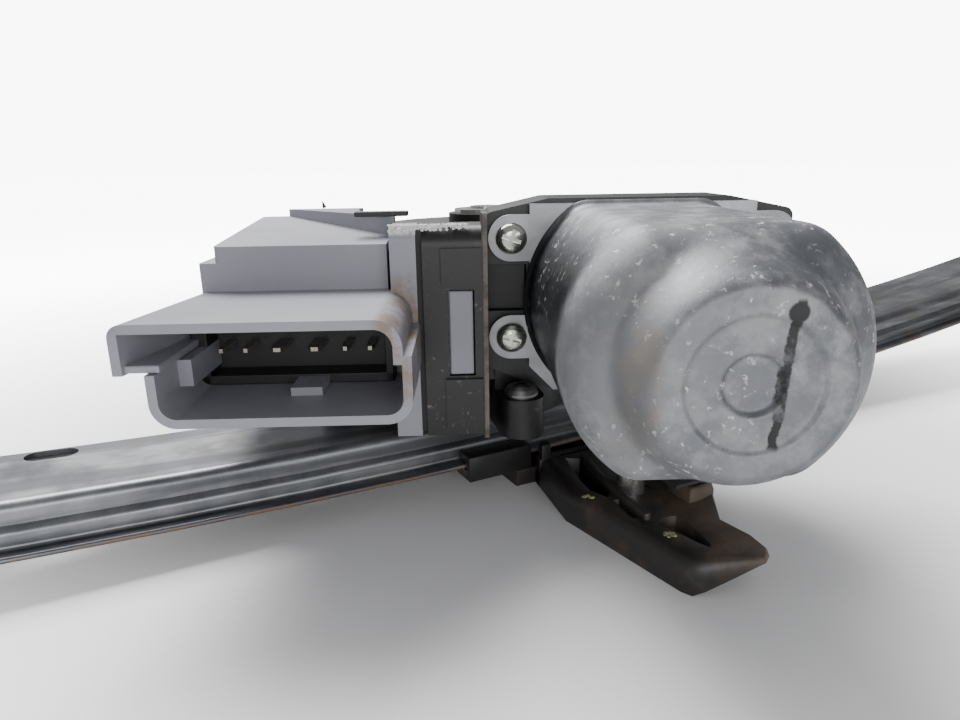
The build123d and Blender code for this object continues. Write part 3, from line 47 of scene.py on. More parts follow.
# %% [markdown]
# The working frame is the one in which the part was drawn: x along the rail, y across it, and its origin
# where the drum's axis meets the rail. The motor lies in a frame turned 25 degrees about that axis. Two
# small functions carry points from both into the scene, so each piece can be given in its own terms.

# %% Places
MM = 0.001
MAIN = "rail_and_motor"
BASE_SHIFT = Vector((-10.76, 37.23, 16.7))
MOTOR_TURN = math.radians(-25)


def working(x, y, z):
    """A point of the working frame, in the scene's metres."""
    return (Vector((x, y, z)) + BASE_SHIFT) * MM


def motor(x, y, z):
    """A point of the motor's frame, in the scene's metres."""
    c, s = math.cos(MOTOR_TURN), math.sin(MOTOR_TURN)
    return working(x * c - y * s, x * s + y * c, z)


print("the drum's axis stands at", motor(0, 0, 0)[:])

# %% [markdown]
# The photograph was taken with a wide lens from close by, a little above the motor's end. A camera is an
# object whose local -Z looks forward, so its three axes are worked out from the heading, the tilt and a
# slight roll, and put into its matrix.

# %% Camera
EYE = (-82.66, -163.24, 61.37)
HEADING = 0.021
TILT = 0.276
ROLL = -0.016
LENS = 26.25


def turned(v):
    """A direction of the motor's frame, in the scene."""
    c, s = math.cos(MOTOR_TURN), math.sin(MOTOR_TURN)
    return Vector((v[0] * c - v[1] * s, v[0] * s + v[1] * c, v[2]))


ahead = turned((math.sin(HEADING) * math.cos(TILT), math.cos(HEADING) * math.cos(TILT), -math.sin(TILT)))
sideways = turned((math.cos(HEADING), -math.sin(HEADING), 0))
above = turned((math.sin(HEADING) * math.sin(TILT), math.cos(HEADING) * math.sin(TILT), math.cos(TILT)))
right = sideways * math.cos(ROLL) + above * math.sin(ROLL)
top = above * math.cos(ROLL) - sideways * math.sin(ROLL)
lens = bpy.data.cameras.new("camera")
lens.sensor_width = 36
lens.lens = LENS
lens.clip_start = 0.005
camera = bpy.data.objects.new("camera", lens)
camera.matrix_world = Matrix((right, top, -ahead)).transposed().to_4x4()
camera.location = working(*EYE)
scene.collection.objects.link(camera)
scene.camera = camera
print("camera at", camera.location[:], "lens", LENS, "mm")

# %% [markdown]
# The background is a plain white room. The flat floor fades into the white of the room with distance, so
# no horizon shows. Both glow for the camera alone: the Light Path node tells a camera ray from the others,
# and the piece is lit by the lamps and a weak, even room light.

# %% Room and floor
GLOW = 9.0
ROOM_LIGHT = 0.38
GLOW_STARTS = 0.06
GLOW_FULL = 0.5
world = bpy.data.worlds.new("soft_room")
world.use_nodes = True
backdrop = world.node_tree.nodes["Background"]
backdrop.inputs["Color"].default_value = (0.97, 0.98, 1.0, 1)
seen = world.node_tree.nodes.new("ShaderNodeLightPath")
strength = world.node_tree.nodes.new("ShaderNodeMapRange")
strength.inputs["To Min"].default_value = ROOM_LIGHT
strength.inputs["To Max"].default_value = GLOW
world.node_tree.links.new(seen.outputs["Is Camera Ray"], strength.inputs["Value"])
world.node_tree.links.new(strength.outputs["Result"], backdrop.inputs["Strength"])
scene.world = world


def fading_floor():
    """A large flat floor whose far part glows like the room behind it."""
    made = bpy.data.materials.new("pale_floor")
    made.use_nodes = True
    tree = made.node_tree
    shader = tree.nodes["Principled BSDF"]
    shader.inputs["Base Color"].default_value = (0.88, 0.88, 0.885, 1)
    shader.inputs["Roughness"].default_value = 0.8
    shader.inputs["Specular IOR Level"].default_value = 0.25
    where = tree.nodes.new("ShaderNodeTexCoord")
    away = tree.nodes.new("ShaderNodeVectorMath")
    away.operation = "DISTANCE"
    away.inputs[1].default_value = (0.0, 0.02, 0.0)
    tree.links.new(where.outputs["Object"], away.inputs[0])
    glow = tree.nodes.new("ShaderNodeMapRange")
    glow.interpolation_type = "SMOOTHSTEP"
    glow.inputs["From Min"].default_value = GLOW_STARTS
    glow.inputs["From Max"].default_value = GLOW_FULL
    glow.inputs["To Max"].default_value = GLOW
    tree.links.new(away.outputs["Value"], glow.inputs["Value"])
    shader.inputs["Emission Color"].default_value = (1.0, 1.0, 1.0, 1)
    seen = tree.nodes.new("ShaderNodeLightPath")
    shown = tree.nodes.new("ShaderNodeMath")
    shown.operation = "MULTIPLY"
    tree.links.new(glow.outputs["Result"], shown.inputs[0])
    tree.links.new(seen.outputs["Is Camera Ray"], shown.inputs[1])
    tree.links.new(shown.outputs["Value"], shader.inputs["Emission Strength"])
    mesh = bpy.data.meshes.new("floor")
    mesh.from_pydata([(-8, -8, 0), (8, -8, 0), (8, 8, 0), (-8, 8, 0)], [], [(0, 1, 2, 3)])
    mesh.materials.append(made)
    floor = bpy.data.objects.new("floor", mesh)
    scene.collection.objects.link(floor)
    return floor


fading_floor()
print("floor glows from", GLOW_STARTS, "to", GLOW_FULL, "m away")

# %% [markdown]
# The light is soft, as in a small photo tent: one large area light above and behind, whose shadow falls
# forward, and a faint one in front. A lamp shines along its local -Z, which to_track_quat turns to a point.

# %% Lights
def area_light(name, place, target, size, power):
    """A rectangular area light that faces a point."""
    data = bpy.data.lights.new(name, "AREA")
    data.shape = "RECTANGLE"
    data.size, data.size_y = size
    data.energy = power
    made = bpy.data.objects.new(name, data)
    made.location = place
    made.rotation_euler = (Vector(target) - Vector(place)).to_track_quat("-Z", "Y").to_euler()
    scene.collection.objects.link(made)
    print(name, power, "W")


area_light("top_light", (-0.05, 0.42, 0.62), (0, 0.0, 0), (0.5, 0.35), 12.0)
area_light("front_light", (-0.2, -0.8, 0.2), (0, 0, 0.04), (0.7, 0.25), 3.4)

# %% [markdown]
# A finish is one material built from nodes: a base colour that varies in large soft patches, fine grain
# or scratches that change the roughness, and a small bump. The helper below wires these in the same way
# each time, reading Object coordinates, so a pattern stays on its piece when the piece moves.

# %% A helper for arithmetic nodes
def socket(node, name, value):
    """Links a socket to a value, a colour or another socket."""
    if isinstance(value, bpy.types.NodeSocket):
        node.id_data.links.new(value, node.inputs[name])
    else:
        node.inputs[name].default_value = value


class Graph:
    """Arithmetic nodes for a material's or a Geometry Nodes graph, one call each."""

    def math(self, kind, a, b=0.0):
        node = self.graph.nodes.new("ShaderNodeMath")
        node.operation = kind
        socket(node, 0, a)
        socket(node, 1, b)
        return node.outputs["Value"]

    def plus(self, a, b):
        return self.math("ADD", a, b)

    def minus(self, a, b):
        return self.math("SUBTRACT", a, b)

    def times(self, a, b):
        return self.math("MULTIPLY", a, b)


# %% A helper for finishes
class Finish(Graph):
    """A material with a few shorthand nodes."""

    def __init__(self, name):
        self.material = bpy.data.materials.new(name)
        self.material.use_nodes = True
        self.graph = self.material.node_tree
        self.shader = self.graph.nodes["Principled BSDF"]
        self.where = self.graph.nodes.new("ShaderNodeTexCoord").outputs["Object"]

    def noise(self, scale, detail, rough, stretch=(1, 1, 1)):
        place = self.graph.nodes.new("ShaderNodeMapping")
        socket(place, "Vector", self.where)
        place.inputs["Scale"].default_value = stretch
        node = self.graph.nodes.new("ShaderNodeTexNoise")
        socket(node, "Vector", place.outputs["Vector"])
        socket(node, "Scale", scale)
        socket(node, "Detail", detail)
        socket(node, "Roughness", rough)
        return node.outputs["Fac"]

    def band(self, value, low, high, to_low=0.0, to_high=1.0):
        node = self.graph.nodes.new("ShaderNodeMapRange")
        node.interpolation_type = "SMOOTHSTEP"
        socket(node, "Value", value)
        socket(node, "From Min", low)
        socket(node, "From Max", high)
        socket(node, "To Min", to_low)
        socket(node, "To Max", to_high)
        return node.outputs["Result"]

    def mix(self, share, a, b):
        node = self.graph.nodes.new("ShaderNodeMix")
        node.data_type = "RGBA"
        socket(node, 0, share)
        for index, value in ((6, a), (7, b)):
            socket(node, index, (*value, 1) if isinstance(value, tuple) else value)
        return node.outputs[2]

    def bump(self, height, strength, distance):
        node = self.graph.nodes.new("ShaderNodeBump")
        socket(node, "Height", height)
        socket(node, "Strength", strength)
        socket(node, "Distance", distance)
        socket(self.shader, "Normal", node.outputs["Normal"])

    def place(self, turn=0.0):
        """Millimetres along x, y and z of the working frame, or of the motor's with its turn undone."""
        c, t = math.cos(-turn), math.sin(-turn)
        x, y, z = BASE_SHIFT
        node = self.graph.nodes.new("ShaderNodeMapping")
        socket(node, "Vector", self.where)
        node.inputs["Scale"].default_value = (1000, 1000, 1000)
        node.inputs["Rotation"].default_value = (0, 0, -turn)
        node.inputs["Location"].default_value = (-(x * c - y * t), -(x * t + y * c), -z)
        parts = self.graph.nodes.new("ShaderNodeSeparateXYZ")
        socket(parts, "Vector", node.outputs["Vector"])
        return parts.outputs["X"], parts.outputs["Y"], parts.outputs["Z"]

    def near(self, value, middle, half, soft):
        """1 where a value lies within half of the middle, falling to 0 over a soft edge."""
        away = self.math("ABSOLUTE", self.minus(value, middle))
        return self.band(away, half, half + soft, 1.0, 0.0)

    def all_of(self, *masks):
        """The product of several masks."""
        total = masks[0]
        for mask in masks[1:]:
            total = self.times(total, mask)
        return total

    def set(self, name, value):
        socket(self.shader, name, value)


# %% [markdown]
# Most pieces are of moulded plastic or of plated metal, so each of the two has a recipe: plastic has a
# fine grain and may carry pale dust, and metal has cloudy patches and fine scratches.

# %% Recipes for plastic and metal
def dress(name, finish):
    """Gives a CAD node one finish."""
    mesh = nodes[name].data
    mesh.materials.clear()
    mesh.materials.append(finish.material)


def plastic(name, low, high, rough, grain, dust=None):
    """Moulded plastic: a fine grain, and pale dust where it is given."""
    made = Finish(name)
    patches = made.noise(22, 5, 0.6)
    color = made.mix(made.band(patches, 0.35, 0.7), low, high)
    if dust:
        soil, amount = dust
        where = made.times(made.noise(60, 8, 0.7), made.noise(9, 2, 0.5))
        color = made.mix(made.band(where, 0.24, 0.42, 0, amount), color, soil)
    made.set("Base Color", color)
    made.set("Roughness", made.band(patches, 0.3, 0.7, *rough))
    made.bump(made.noise(grain, 2, 0.5), 0.12, 0.00008)
    return made


def metal(name, low, high, rough, scratch):
    """Plated or rolled metal: cloudy patches and fine scratches."""
    made = Finish(name)
    patches = made.noise(45, 6, 0.62)
    fine = made.noise(scratch, 5, 0.6)
    color = made.mix(made.band(patches, 0.32, 0.68), low, high)
    made.set("Base Color", color)
    made.set("Metallic", 0.9)
    made.set("Roughness", made.band(made.plus(patches, fine), 0.7, 1.3, *rough))
    made.bump(fine, 0.15, 0.00006)
    return made


# %% [markdown]
# The can's zinc has gone dull in clouds, with white specks of corrosion, a brown stain beside the bearing
# seat, and one stroke of black marker across it. Its left flank is smoother and carries a painted dark
# reflection: the colour there is nearly black. Each mark is a mask: a band of the motor's own coordinates,
# broken up by noise.

# %% The can's zinc
def can_zinc():
    """Dull, blotchy zinc with its marks, and a painted dark reflection on its left flank."""
    made = Finish("zinc_can")
    x, y, z = made.place(MOTOR_TURN)
    cloud = made.noise(38, 6, 0.62)
    fine = made.noise(420, 6, 0.7)
    mottle = made.noise(130, 7, 0.7)
    color = made.mix(made.band(cloud, 0.34, 0.66), (0.15, 0.157, 0.172), (0.235, 0.243, 0.258))
    color = made.mix(made.band(mottle, 0.42, 0.66, 0, 0.75), color, (0.36, 0.368, 0.38))
    # Painted reflection: the left flank is painted nearly black, for the dark surroundings it would reflect.
    painted_dark_flank = made.times(made.band(x, 10, 17, 1, 0), made.band(y, -82, -74, 0, 1))
    color = made.mix(painted_dark_flank, color, (0.035, 0.036, 0.042))
    fine_spots = made.band(made.noise(700, 4, 0.6), 0.6, 0.68)
    specks = made.times(fine_spots, made.band(made.noise(24, 3, 0.6), 0.44, 0.62))
    color = made.mix(made.times(specks, 0.8), color, (0.80, 0.80, 0.78))
    column = made.all_of(made.near(x, 17.0, 1.4, 2.6), made.near(z, 31.0, 10.0, 9.0))
    stain = made.all_of(column, made.band(y, -93, -84, 1, 0.2), made.band(mottle, 0.42, 0.58))
    color = made.mix(made.times(stain, 0.5), color, (0.20, 0.16, 0.12))
    wobble = made.times(made.noise(420, 5, 0.7), 1.6)
    slant = made.times(made.minus(z, 33.6), 0.085)
    line = made.near(made.minus(made.minus(x, wobble), slant), 35.3, 0.52, 0.35)
    seat_face = made.band(y, -94.6, -94.0, 1, 0)
    stroke = made.all_of(line, made.near(z, 33.6, 9.9, 0.8), seat_face)
    across = made.math("POWER", made.minus(x, 36.7), 2)
    upward = made.math("POWER", made.minus(z, 42.3), 2)
    round_spot = made.plus(made.plus(across, upward), wobble)
    blob = made.times(made.band(round_spot, 2.2, 3.2, 1, 0), seat_face)
    ink = made.times(made.math("MAXIMUM", stroke, blob), made.band(mottle, 0.40, 0.52, 0.35, 0.97))
    color = made.mix(ink, color, (0.012, 0.012, 0.013))
    made.set("Base Color", color)
    bare = made.minus(0.88, made.times(made.math("MAXIMUM", specks, ink), 0.7))
    made.set("Metallic", made.times(bare, 0.85))
    rough = made.band(made.plus(cloud, mottle), 0.7, 1.3, 0.5, 0.72)
    made.set("Roughness", made.minus(rough, made.times(painted_dark_flank, 0.2)))
    height = made.plus(made.times(fine, 0.6), made.plus(made.times(specks, 0.8), mottle))
    made.bump(height, 0.45, 0.0002)
    return made


zinc = can_zinc()
print(zinc.material.name, len(zinc.graph.nodes), "nodes")

# %% [markdown]
# The flange is of a brighter zinc, and the screws are plated. The rail's sheet was galvanised and then
# drawn, so dark streaks run along it, which a noise squeezed in y gives. Rust starts at its lower lips:
# the height over the arch is worked out from x, and the rust is a band of that height.

# %% The rail's steel
RAIL_R = 1740.0
RAIL_LOW_X = -40.0
flange_zinc = metal("flange_zinc", (0.20, 0.205, 0.21), (0.33, 0.335, 0.34), (0.34, 0.48), 300)
bright = metal("bright_plate", (0.42, 0.42, 0.39), (0.58, 0.58, 0.54), (0.16, 0.3), 500)


def rail_steel():
    """Galvanised sheet: long draw marks, dull spangle, and rust along the lower lips."""
    made = Finish("galvanised_rail")
    x, y, z = made.place()
    cloud = made.noise(34, 6, 0.65)
    drawn = made.noise(120, 5, 0.6, (0.06, 1, 1))
    color = made.mix(made.band(cloud, 0.32, 0.68), (0.15, 0.158, 0.172), (0.30, 0.31, 0.325))
    color = made.mix(made.band(drawn, 0.45, 0.6, 0, 0.75), color, (0.07, 0.074, 0.084))
    from_low = made.plus(x, -RAIL_LOW_X)
    rise = made.times(made.times(from_low, from_low), 0.5 / RAIL_R)
    level = made.minus(z, rise)
    patch = made.noise(70, 7, 0.7)
    rust = made.times(made.band(level, -9.2, -10.2, 0, 1), made.band(patch, 0.36, 0.56))
    color = made.mix(made.times(rust, 0.85), color, (0.20, 0.085, 0.03))
    dirt = made.times(made.band(made.noise(11, 4, 0.7), 0.5, 0.66), made.band(patch, 0.4, 0.62, 0, 0.5))
    color = made.mix(dirt, color, (0.12, 0.10, 0.08))
    made.set("Base Color", color)
    made.set("Metallic", made.minus(0.88, made.times(rust, 0.8)))
    made.set("Roughness", made.band(made.plus(cloud, drawn), 0.7, 1.3, 0.3, 0.52))
    made.bump(made.plus(drawn, made.times(rust, patch)), 0.25, 0.00012)
    return made


galvanised = rail_steel()
print(galvanised.material.name, len(galvanised.graph.nodes), "nodes")

# %% Plain metals
dark_metal = metal("oiled_steel", (0.16, 0.16, 0.16), (0.26, 0.26, 0.26), (0.3, 0.45), 300)
rope = metal("cable_rope", (0.20, 0.20, 0.19), (0.34, 0.33, 0.31), (0.35, 0.5), 900)
copper = metal("copper_wire", (0.42, 0.17, 0.07), (0.62, 0.28, 0.12), (0.25, 0.4), 900)
bronze = metal("bronze_bush", (0.36, 0.22, 0.09), (0.48, 0.32, 0.15), (0.35, 0.5), 700)
tinned = metal("tinned_blade", (0.30, 0.29, 0.25), (0.42, 0.40, 0.34), (0.3, 0.45), 900)
print("plain metals", [f.material.name for f in (dark_metal, rope, copper, bronze, tinned)])

# %% [markdown]
# The black mouldings are one plastic with more or less dust on it. The socket of the gear housing faces
# the camera, so it has its own finish with dust on its front and a tan, worn edge.

# %% Black plastics
def socket_black():
    """The housing's black, with pale dust and a tan worn edge on the socket."""
    made = Finish("worn_housing")
    x, y, z = made.place(MOTOR_TURN)
    cloud = made.noise(22, 5, 0.6)
    patch = made.noise(150, 8, 0.7)
    color = made.mix(made.band(cloud, 0.35, 0.7), (0.005, 0.005, 0.005), (0.012, 0.0118, 0.0115))
    front = made.band(y, -37.5, -36.0, 1, 0)
    dust = made.all_of(made.band(made.noise(620, 5, 0.65), 0.58, 0.68), made.band(patch, 0.46, 0.6), front)
    color = made.mix(made.times(dust, 0.6), color, (0.34, 0.31, 0.27))
    worn = made.all_of(made.near(x, -1.5, 0.4, 0.3), front, made.band(patch, 0.34, 0.54, 0.25, 1))
    color = made.mix(made.times(worn, 0.8), color, (0.22, 0.195, 0.165))
    made.set("Base Color", color)
    made.set("Roughness", made.band(made.plus(cloud, made.math("MAXIMUM", dust, worn)), 0.3, 1.3, 0.4, 0.8))
    made.bump(made.noise(700, 2, 0.5), 0.14, 0.00008)
    return made


worn_black = socket_black()
dusty = ((0.14, 0.115, 0.09), 0.28)
muddy = ((0.15, 0.10, 0.065), 0.6)
black = plastic("black_housing", (0.006, 0.006, 0.006), (0.015, 0.0145, 0.014), (0.4, 0.6), 700, dusty)
# This black is for the pin insert, and for the pieces that paint shade in the connector room and behind the
# can's notch.
tray_and_shade_black = plastic("black_tray_and_shade", (0.006, 0.006, 0.007), (0.011, 0.011, 0.012), (0.45, 0.6), 900)
shoe_black = plastic("guide_shoe", (0.010, 0.010, 0.010), (0.018, 0.017, 0.016), (0.35, 0.5), 700)
grimy = plastic("grimy_carrier", (0.016, 0.014, 0.013), (0.036, 0.030, 0.027), (0.36, 0.6), 420, muddy)
print("black finishes", [f.material.name for f in (worn_black, black, tray_and_shade_black, shoe_black, grimy)])

# %% [markdown]
# The module is of a light, slightly blue grey. Brown soil has crept out of the joint beside the socket,
# and white residue lies on the flange's top.

# %% The module's grey
def module_grey():
    """Light grey plastic with a brown stain at the flange and white residue on its top."""
    made = Finish("grey_module")
    x, y, z = made.place(MOTOR_TURN)
    cloud = made.noise(20, 5, 0.6)
    grain = made.noise(900, 2, 0.5)
    patch = made.noise(150, 8, 0.7)
    color = made.mix(made.band(cloud, 0.35, 0.7), (0.25, 0.25, 0.285), (0.29, 0.29, 0.33))
    joint = made.times(made.near(x, -17.5, 2.2, 3.2), made.near(z, 30.0, 6.0, 6.0))
    smear = made.all_of(joint, made.band(y, -40, -34, 1, 0), made.band(patch, 0.42, 0.58))
    color = made.mix(made.times(smear, 0.8), color, (0.20, 0.14, 0.095))
    soil = made.times(made.band(made.noise(8, 3, 0.6), 0.48, 0.62), made.band(patch, 0.45, 0.62, 0, 0.3))
    color = made.mix(soil, color, (0.30, 0.26, 0.22))
    ledge = made.times(made.near(x, -12.0, 9.0, 2.0), made.near(z, 49.6, 1.4, 1.2))
    crumbs = made.all_of(ledge, made.band(y, -38, -35, 1, 0), made.band(patch, 0.42, 0.54))
    color = made.mix(crumbs, color, (0.78, 0.77, 0.74))
    made.set("Base Color", color)
    made.set("Roughness", made.band(made.plus(cloud, crumbs), 0.3, 1.4, 0.4, 0.8))
    made.bump(made.plus(made.times(grain, 0.3), made.times(crumbs, patch)), 0.25, 0.0002)
    return made


grey = module_grey()
print(grey.material.name, len(grey.graph.nodes), "nodes")

# %% [markdown]
# Every node of the part gets one finish, the hidden ones too, because the part may be opened or cut. The
# table lists them by finish, and the last line shows any node that was left out.

# %% Dress the nodes
old_grease = ((0.35, 0.30, 0.22), 0.5)
white = plastic("white_slide", (0.62, 0.60, 0.54), (0.72, 0.70, 0.64), (0.4, 0.55), 900, old_grease)
rubber = plastic("black_rubber", (0.015, 0.015, 0.015), (0.03, 0.03, 0.03), (0.6, 0.8), 900)
ferrite = plastic("grey_ferrite", (0.05, 0.05, 0.05), (0.08, 0.08, 0.08), (0.5, 0.7), 600)
board = plastic("green_board", (0.02, 0.10, 0.04), (0.03, 0.14, 0.06), (0.3, 0.4), 600)

worn_by = (
    (galvanised, "rail"),
    (zinc, "motor_can"),
    (bright, "rail_studs pulley_axles housing_rivets unit_screws can_screws wheel_axle axle_clip"),
    (bright, "clamp_screw clamp_nut cable_nipples"),
    (dark_metal, "rear_bush_clip brush_springs worm_shaft armature_core tension_springs"),
    (rope, "left_cable right_cable cable_turns"),
    (copper, "windings commutator"),
    (bronze, "rear_bush front_bush end_bush"),
    (tinned, "small_blades large_blades"),
    (ferrite, "magnets ring_magnet brushes"),
    (worn_black, "gear_housing"),
    (black, "drum_housing gear_cover brush_card relays drive_hub"),
    (grey, "module_case module_lid"),
    (board, "circuit_board"),
    (white, "thrust_plug worm_wheel cable_drum left_pulley right_pulley"),
    (rubber, "stop_buffers module_seal damper clamp_pads"),
    (grimy, "carrier clamp_jaw"),
    (shoe_black, "guide_shoes"),
)
bare = set(nodes)
for finish, names in worn_by:
    for name in names.split():
        dress(name, finish)
        bare.remove(name)
print("bare nodes", sorted(bare))

# %% [markdown]
# The motor's can is pressed from one sheet: two flats, two round sides, a rounded shoulder and a raised
# bearing seat in the middle. Its end follows a rule, so it is made as a height field. For each ring of
# points the shoulder's height and the seat's height are worked out, and a smooth maximum joins them, as
# drawn metal does. The rings are then skinned with quads.

# %% The can's outline
ZINC_SLOT = "zinc_steel"
CAN_R = 24.0
CAN_FLAT = 20.0
CAN_CORNER = 7.0
CAN_NOSE = 9.0
CAN_FRONT_Y = -88.7
MOTOR_X = 32.1
MOTOR_Z = 32.3


def can_outline(count=48):
    """Points round the double-D section, from the motor's axis."""
    mid_x = math.sqrt((CAN_R - CAN_CORNER) ** 2 - (CAN_FLAT - CAN_CORNER) ** 2)
    mid_z = CAN_FLAT - CAN_CORNER
    low = math.atan2(mid_z, mid_x)
    quarter = []
    for i in range(count // 4):
        a = low * i / (count // 4)
        quarter.append((CAN_R * math.cos(a), CAN_R * math.sin(a)))
    for i in range(count // 4):
        a = low + (math.pi / 2 - low) * i / (count // 4)
        quarter.append((mid_x + CAN_CORNER * math.cos(a), mid_z + CAN_CORNER * math.sin(a)))
    for i in range(count // 6):
        quarter.append((mid_x * (1 - i / (count // 6)), CAN_FLAT))
    half = quarter + [(0, CAN_FLAT)] + [(-x, z) for x, z in reversed(quarter)][:-1] + [(-CAN_R, 0)]
    return half + [(x, -z) for x, z in reversed(half[1:-1])]


print("outline", len(can_outline()), "points")

# %% The can's end
SEAT_R = 17.2
SEAT_SLOPE = 3.0
SEAT_H = 7.8
STEP_R = 9.55
EYE_R = 4.2
STEP_DEEP = 0.6
EYE_DEEP = 0.9
SHARP = 9
SEAT_BLEND = 5.0
FOOT_BLEND = 2.4


def inside_can(x, z):
    """How far a point lies inside the outline."""
    x, z = abs(x), abs(z)
    mid_x = math.sqrt((CAN_R - CAN_CORNER) ** 2 - (CAN_FLAT - CAN_CORNER) ** 2)
    mid_z = CAN_FLAT - CAN_CORNER
    if x > mid_x and z > mid_z and math.atan2(z, x) > math.atan2(mid_z, mid_x):
        return CAN_CORNER - math.hypot(x - mid_x, z - mid_z)
    return min(CAN_R - math.hypot(x, z), CAN_FLAT - z)


def soft_max(a, b, width):
    """The larger of two heights, blended where they meet."""
    share = max(width - abs(a - b), 0) / width
    return max(a, b) + share * share * width / 4


def can_height(x, z):
    """How far the end stands out in front of the start of the shoulder."""
    deep = min(inside_can(x, z), CAN_NOSE)
    shoulder = math.sqrt(max(CAN_NOSE**2 - (CAN_NOSE - deep) ** 2, 0))
    radius = math.hypot(x, z)
    cone = CAN_NOSE + (SEAT_R - radius) * SEAT_SLOPE
    bearing = -soft_max(-cone, -(CAN_NOSE + SEAT_H), SEAT_BLEND)
    height = soft_max(shoulder, bearing, FOOT_BLEND)
    step = 1 / (1 + math.exp((radius - STEP_R) * SHARP))
    eye = 1 / (1 + math.exp((radius - EYE_R) * SHARP))
    return height - STEP_DEEP * step - EYE_DEEP * eye


print("seat's height", round(can_height(6.0, 0.0), 2), "at its rim", round(can_height(SEAT_R, 0.0), 2))

# %% [markdown]
# Every piece below is made in the same few steps: a bmesh is filled, kept as an object in one finish, its
# modifiers are applied into a plain mesh, and it is seated on a body in place of the nodes it stands for.
# Each step is one small helper.

# %% Helpers for meshes
def walls(build, rings):
    """Quads between closed rings of points with the same count."""
    made = [[build.verts.new(p) for p in ring] for ring in rings]
    for low, high in zip(made, made[1:]):
        for i in range(len(low)):
            j = (i + 1) % len(low)
            build.faces.new((low[i], low[j], high[j], high[i]))
    return made


def keep(name, build, finish):
    """A new object from a bmesh, in one finish."""
    mesh = bpy.data.meshes.new(name)
    build.to_mesh(mesh)
    build.free()
    mesh.materials.append(finish.material)
    piece = bpy.data.objects.new(name, mesh)
    scene.collection.objects.link(piece)
    return piece


def smooth(mesh):
    """Smooth shading on every face."""
    mesh.polygons.foreach_set("use_smooth", [True] * len(mesh.polygons))


def seat(piece, body, slot, *node_names):
    """Rides a piece on a body, in place of the nodes that it stands for."""
    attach(piece, body)
    if node_names:
        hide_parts(*node_names)
    print(piece.name, len(piece.data.polygons), "faces")


# %% Skin the can
outline = can_outline()
shoulder_y = CAN_FRONT_Y + CAN_NOSE
rings = []
# The mouth flares out a little where the can meets its flange.
for y, out in ((-33.7, 1.3), (-33.9, 1.2), (-34.1, 0.75), (-34.5, 0.35), (-35.1, 0.1), (-36.0, 0.0)):
    wide = 1 + out / CAN_R
    rings.append([motor(MOTOR_X + x * wide, y, MOTOR_Z + z * wide) for x, z in outline])
for y in (-40.0, -50.0, -60.0, -70.0, -76.0, shoulder_y):
    rings.append([motor(MOTOR_X + x, y, MOTOR_Z + z) for x, z in outline])
shares = [1 - 0.5 * (1 - math.cos(math.pi * i / 26)) * 0.42 for i in range(1, 27)]
shares += [0.58 * (1 - i / 40) for i in range(1, 40)]
for share in shares:
    ring = []
    for x, z in outline:
        px, pz = x * share, z * share
        ring.append(motor(MOTOR_X + px, shoulder_y - can_height(px, pz), MOTOR_Z + pz))
    rings.append(ring)
build = bmesh.new()
made = walls(build, rings)
build.faces.new(made[-1])
bmesh.ops.remove_doubles(build, verts=build.verts, dist=1e-6)
bmesh.ops.recalc_face_normals(build, faces=build.faces)
can = keep("can_shell", build, zinc)
smooth(can.data)
seat(can, MAIN, ZINC_SLOT, "motor_can")

# %% [markdown]
# The can ends in a flat flange with four ears for its screws. It is a plain stamping, so the exact solid
# already has its shape. A copy of it is cut off in front of the flange, its edges get a small radius,
# and its zinc is brighter and smoother than the drawn can's. A node's mesh is loose triangles, so the copy
# is welded, its flat faces are joined, and faces with a notch are split, or the radii would cover it.

# %% The can's flange
WELD = 2e-6
FLAT = math.radians(1.5)
FLANGE_CUT_Y = -34.6


def cleaned(name):
    """A bmesh of a CAD node, with its points welded and its flat faces joined."""
    build = bmesh.new()
    build.from_mesh(nodes[name].data)
    bmesh.ops.remove_doubles(build, verts=build.verts, dist=WELD)
    bmesh.ops.dissolve_limit(build, angle_limit=FLAT, verts=build.verts, edges=build.edges)
    bmesh.ops.connect_verts_concave(build, faces=build.faces[:])
    return build


def round_edges(piece, width, angle=30):
    """A Bevel on every edge sharper than an angle."""
    bevel = piece.modifiers.new("radii", "BEVEL")
    bevel.width = width * MM
    bevel.segments = 2
    bevel.limit_method = "ANGLE"
    bevel.angle_limit = math.radians(angle)
    return bevel


def bake(piece):
    """Applies a piece's modifiers and leaves a plain mesh."""
    view = bpy.context.evaluated_depsgraph_get()
    piece.data = bpy.data.meshes.new_from_object(piece.evaluated_get(view))
    piece.modifiers.clear()
    return piece


build = cleaned("motor_can")
every = build.verts[:] + build.edges[:] + build.faces[:]
place, facing = Vector(motor(0, FLANGE_CUT_Y, 0)), turned((0, -1, 0))
bmesh.ops.bisect_plane(build, geom=every, dist=1e-6, plane_co=place, plane_no=facing, clear_outer=True)
flange = keep("can_flange", build, flange_zinc)
round_edges(flange, 0.3, 40)
seat(bake(flange), MAIN, ZINC_SLOT, "motor_can")

# %% [markdown]
# Moulded plastic and pressed steel have no sharp edges: each edge has a small radius that catches light.
# The solids are exact but sharp, so a cleaned copy of a node gets a Bevel modifier, and weighted normals
# keep its large faces looking flat. The modifiers are applied, and the copy stands for the node.

# %% The moulded pieces
BLACK_SLOT = "black_plastic"
GREY_SLOT = "module_plastic"


def with_round_edges(name, width, finish, slot):
    """A copy of a CAD node with small radii on its edges."""
    piece = keep(name + "_round", cleaned(name), finish)
    round_edges(piece, width, 32).miter_outer = "MITER_ARC"
    smooth(piece.data)
    even = piece.modifiers.new("flat_normals", "WEIGHTED_NORMAL")
    even.mode = "FACE_AREA"
    even.weight = 50
    seat(bake(piece), MAIN, slot, name)


with_round_edges("module_case", 0.35, grey, GREY_SLOT)
with_round_edges("gear_housing", 0.35, worn_black, BLACK_SLOT)
with_round_edges("drum_housing", 0.3, black, BLACK_SLOT)

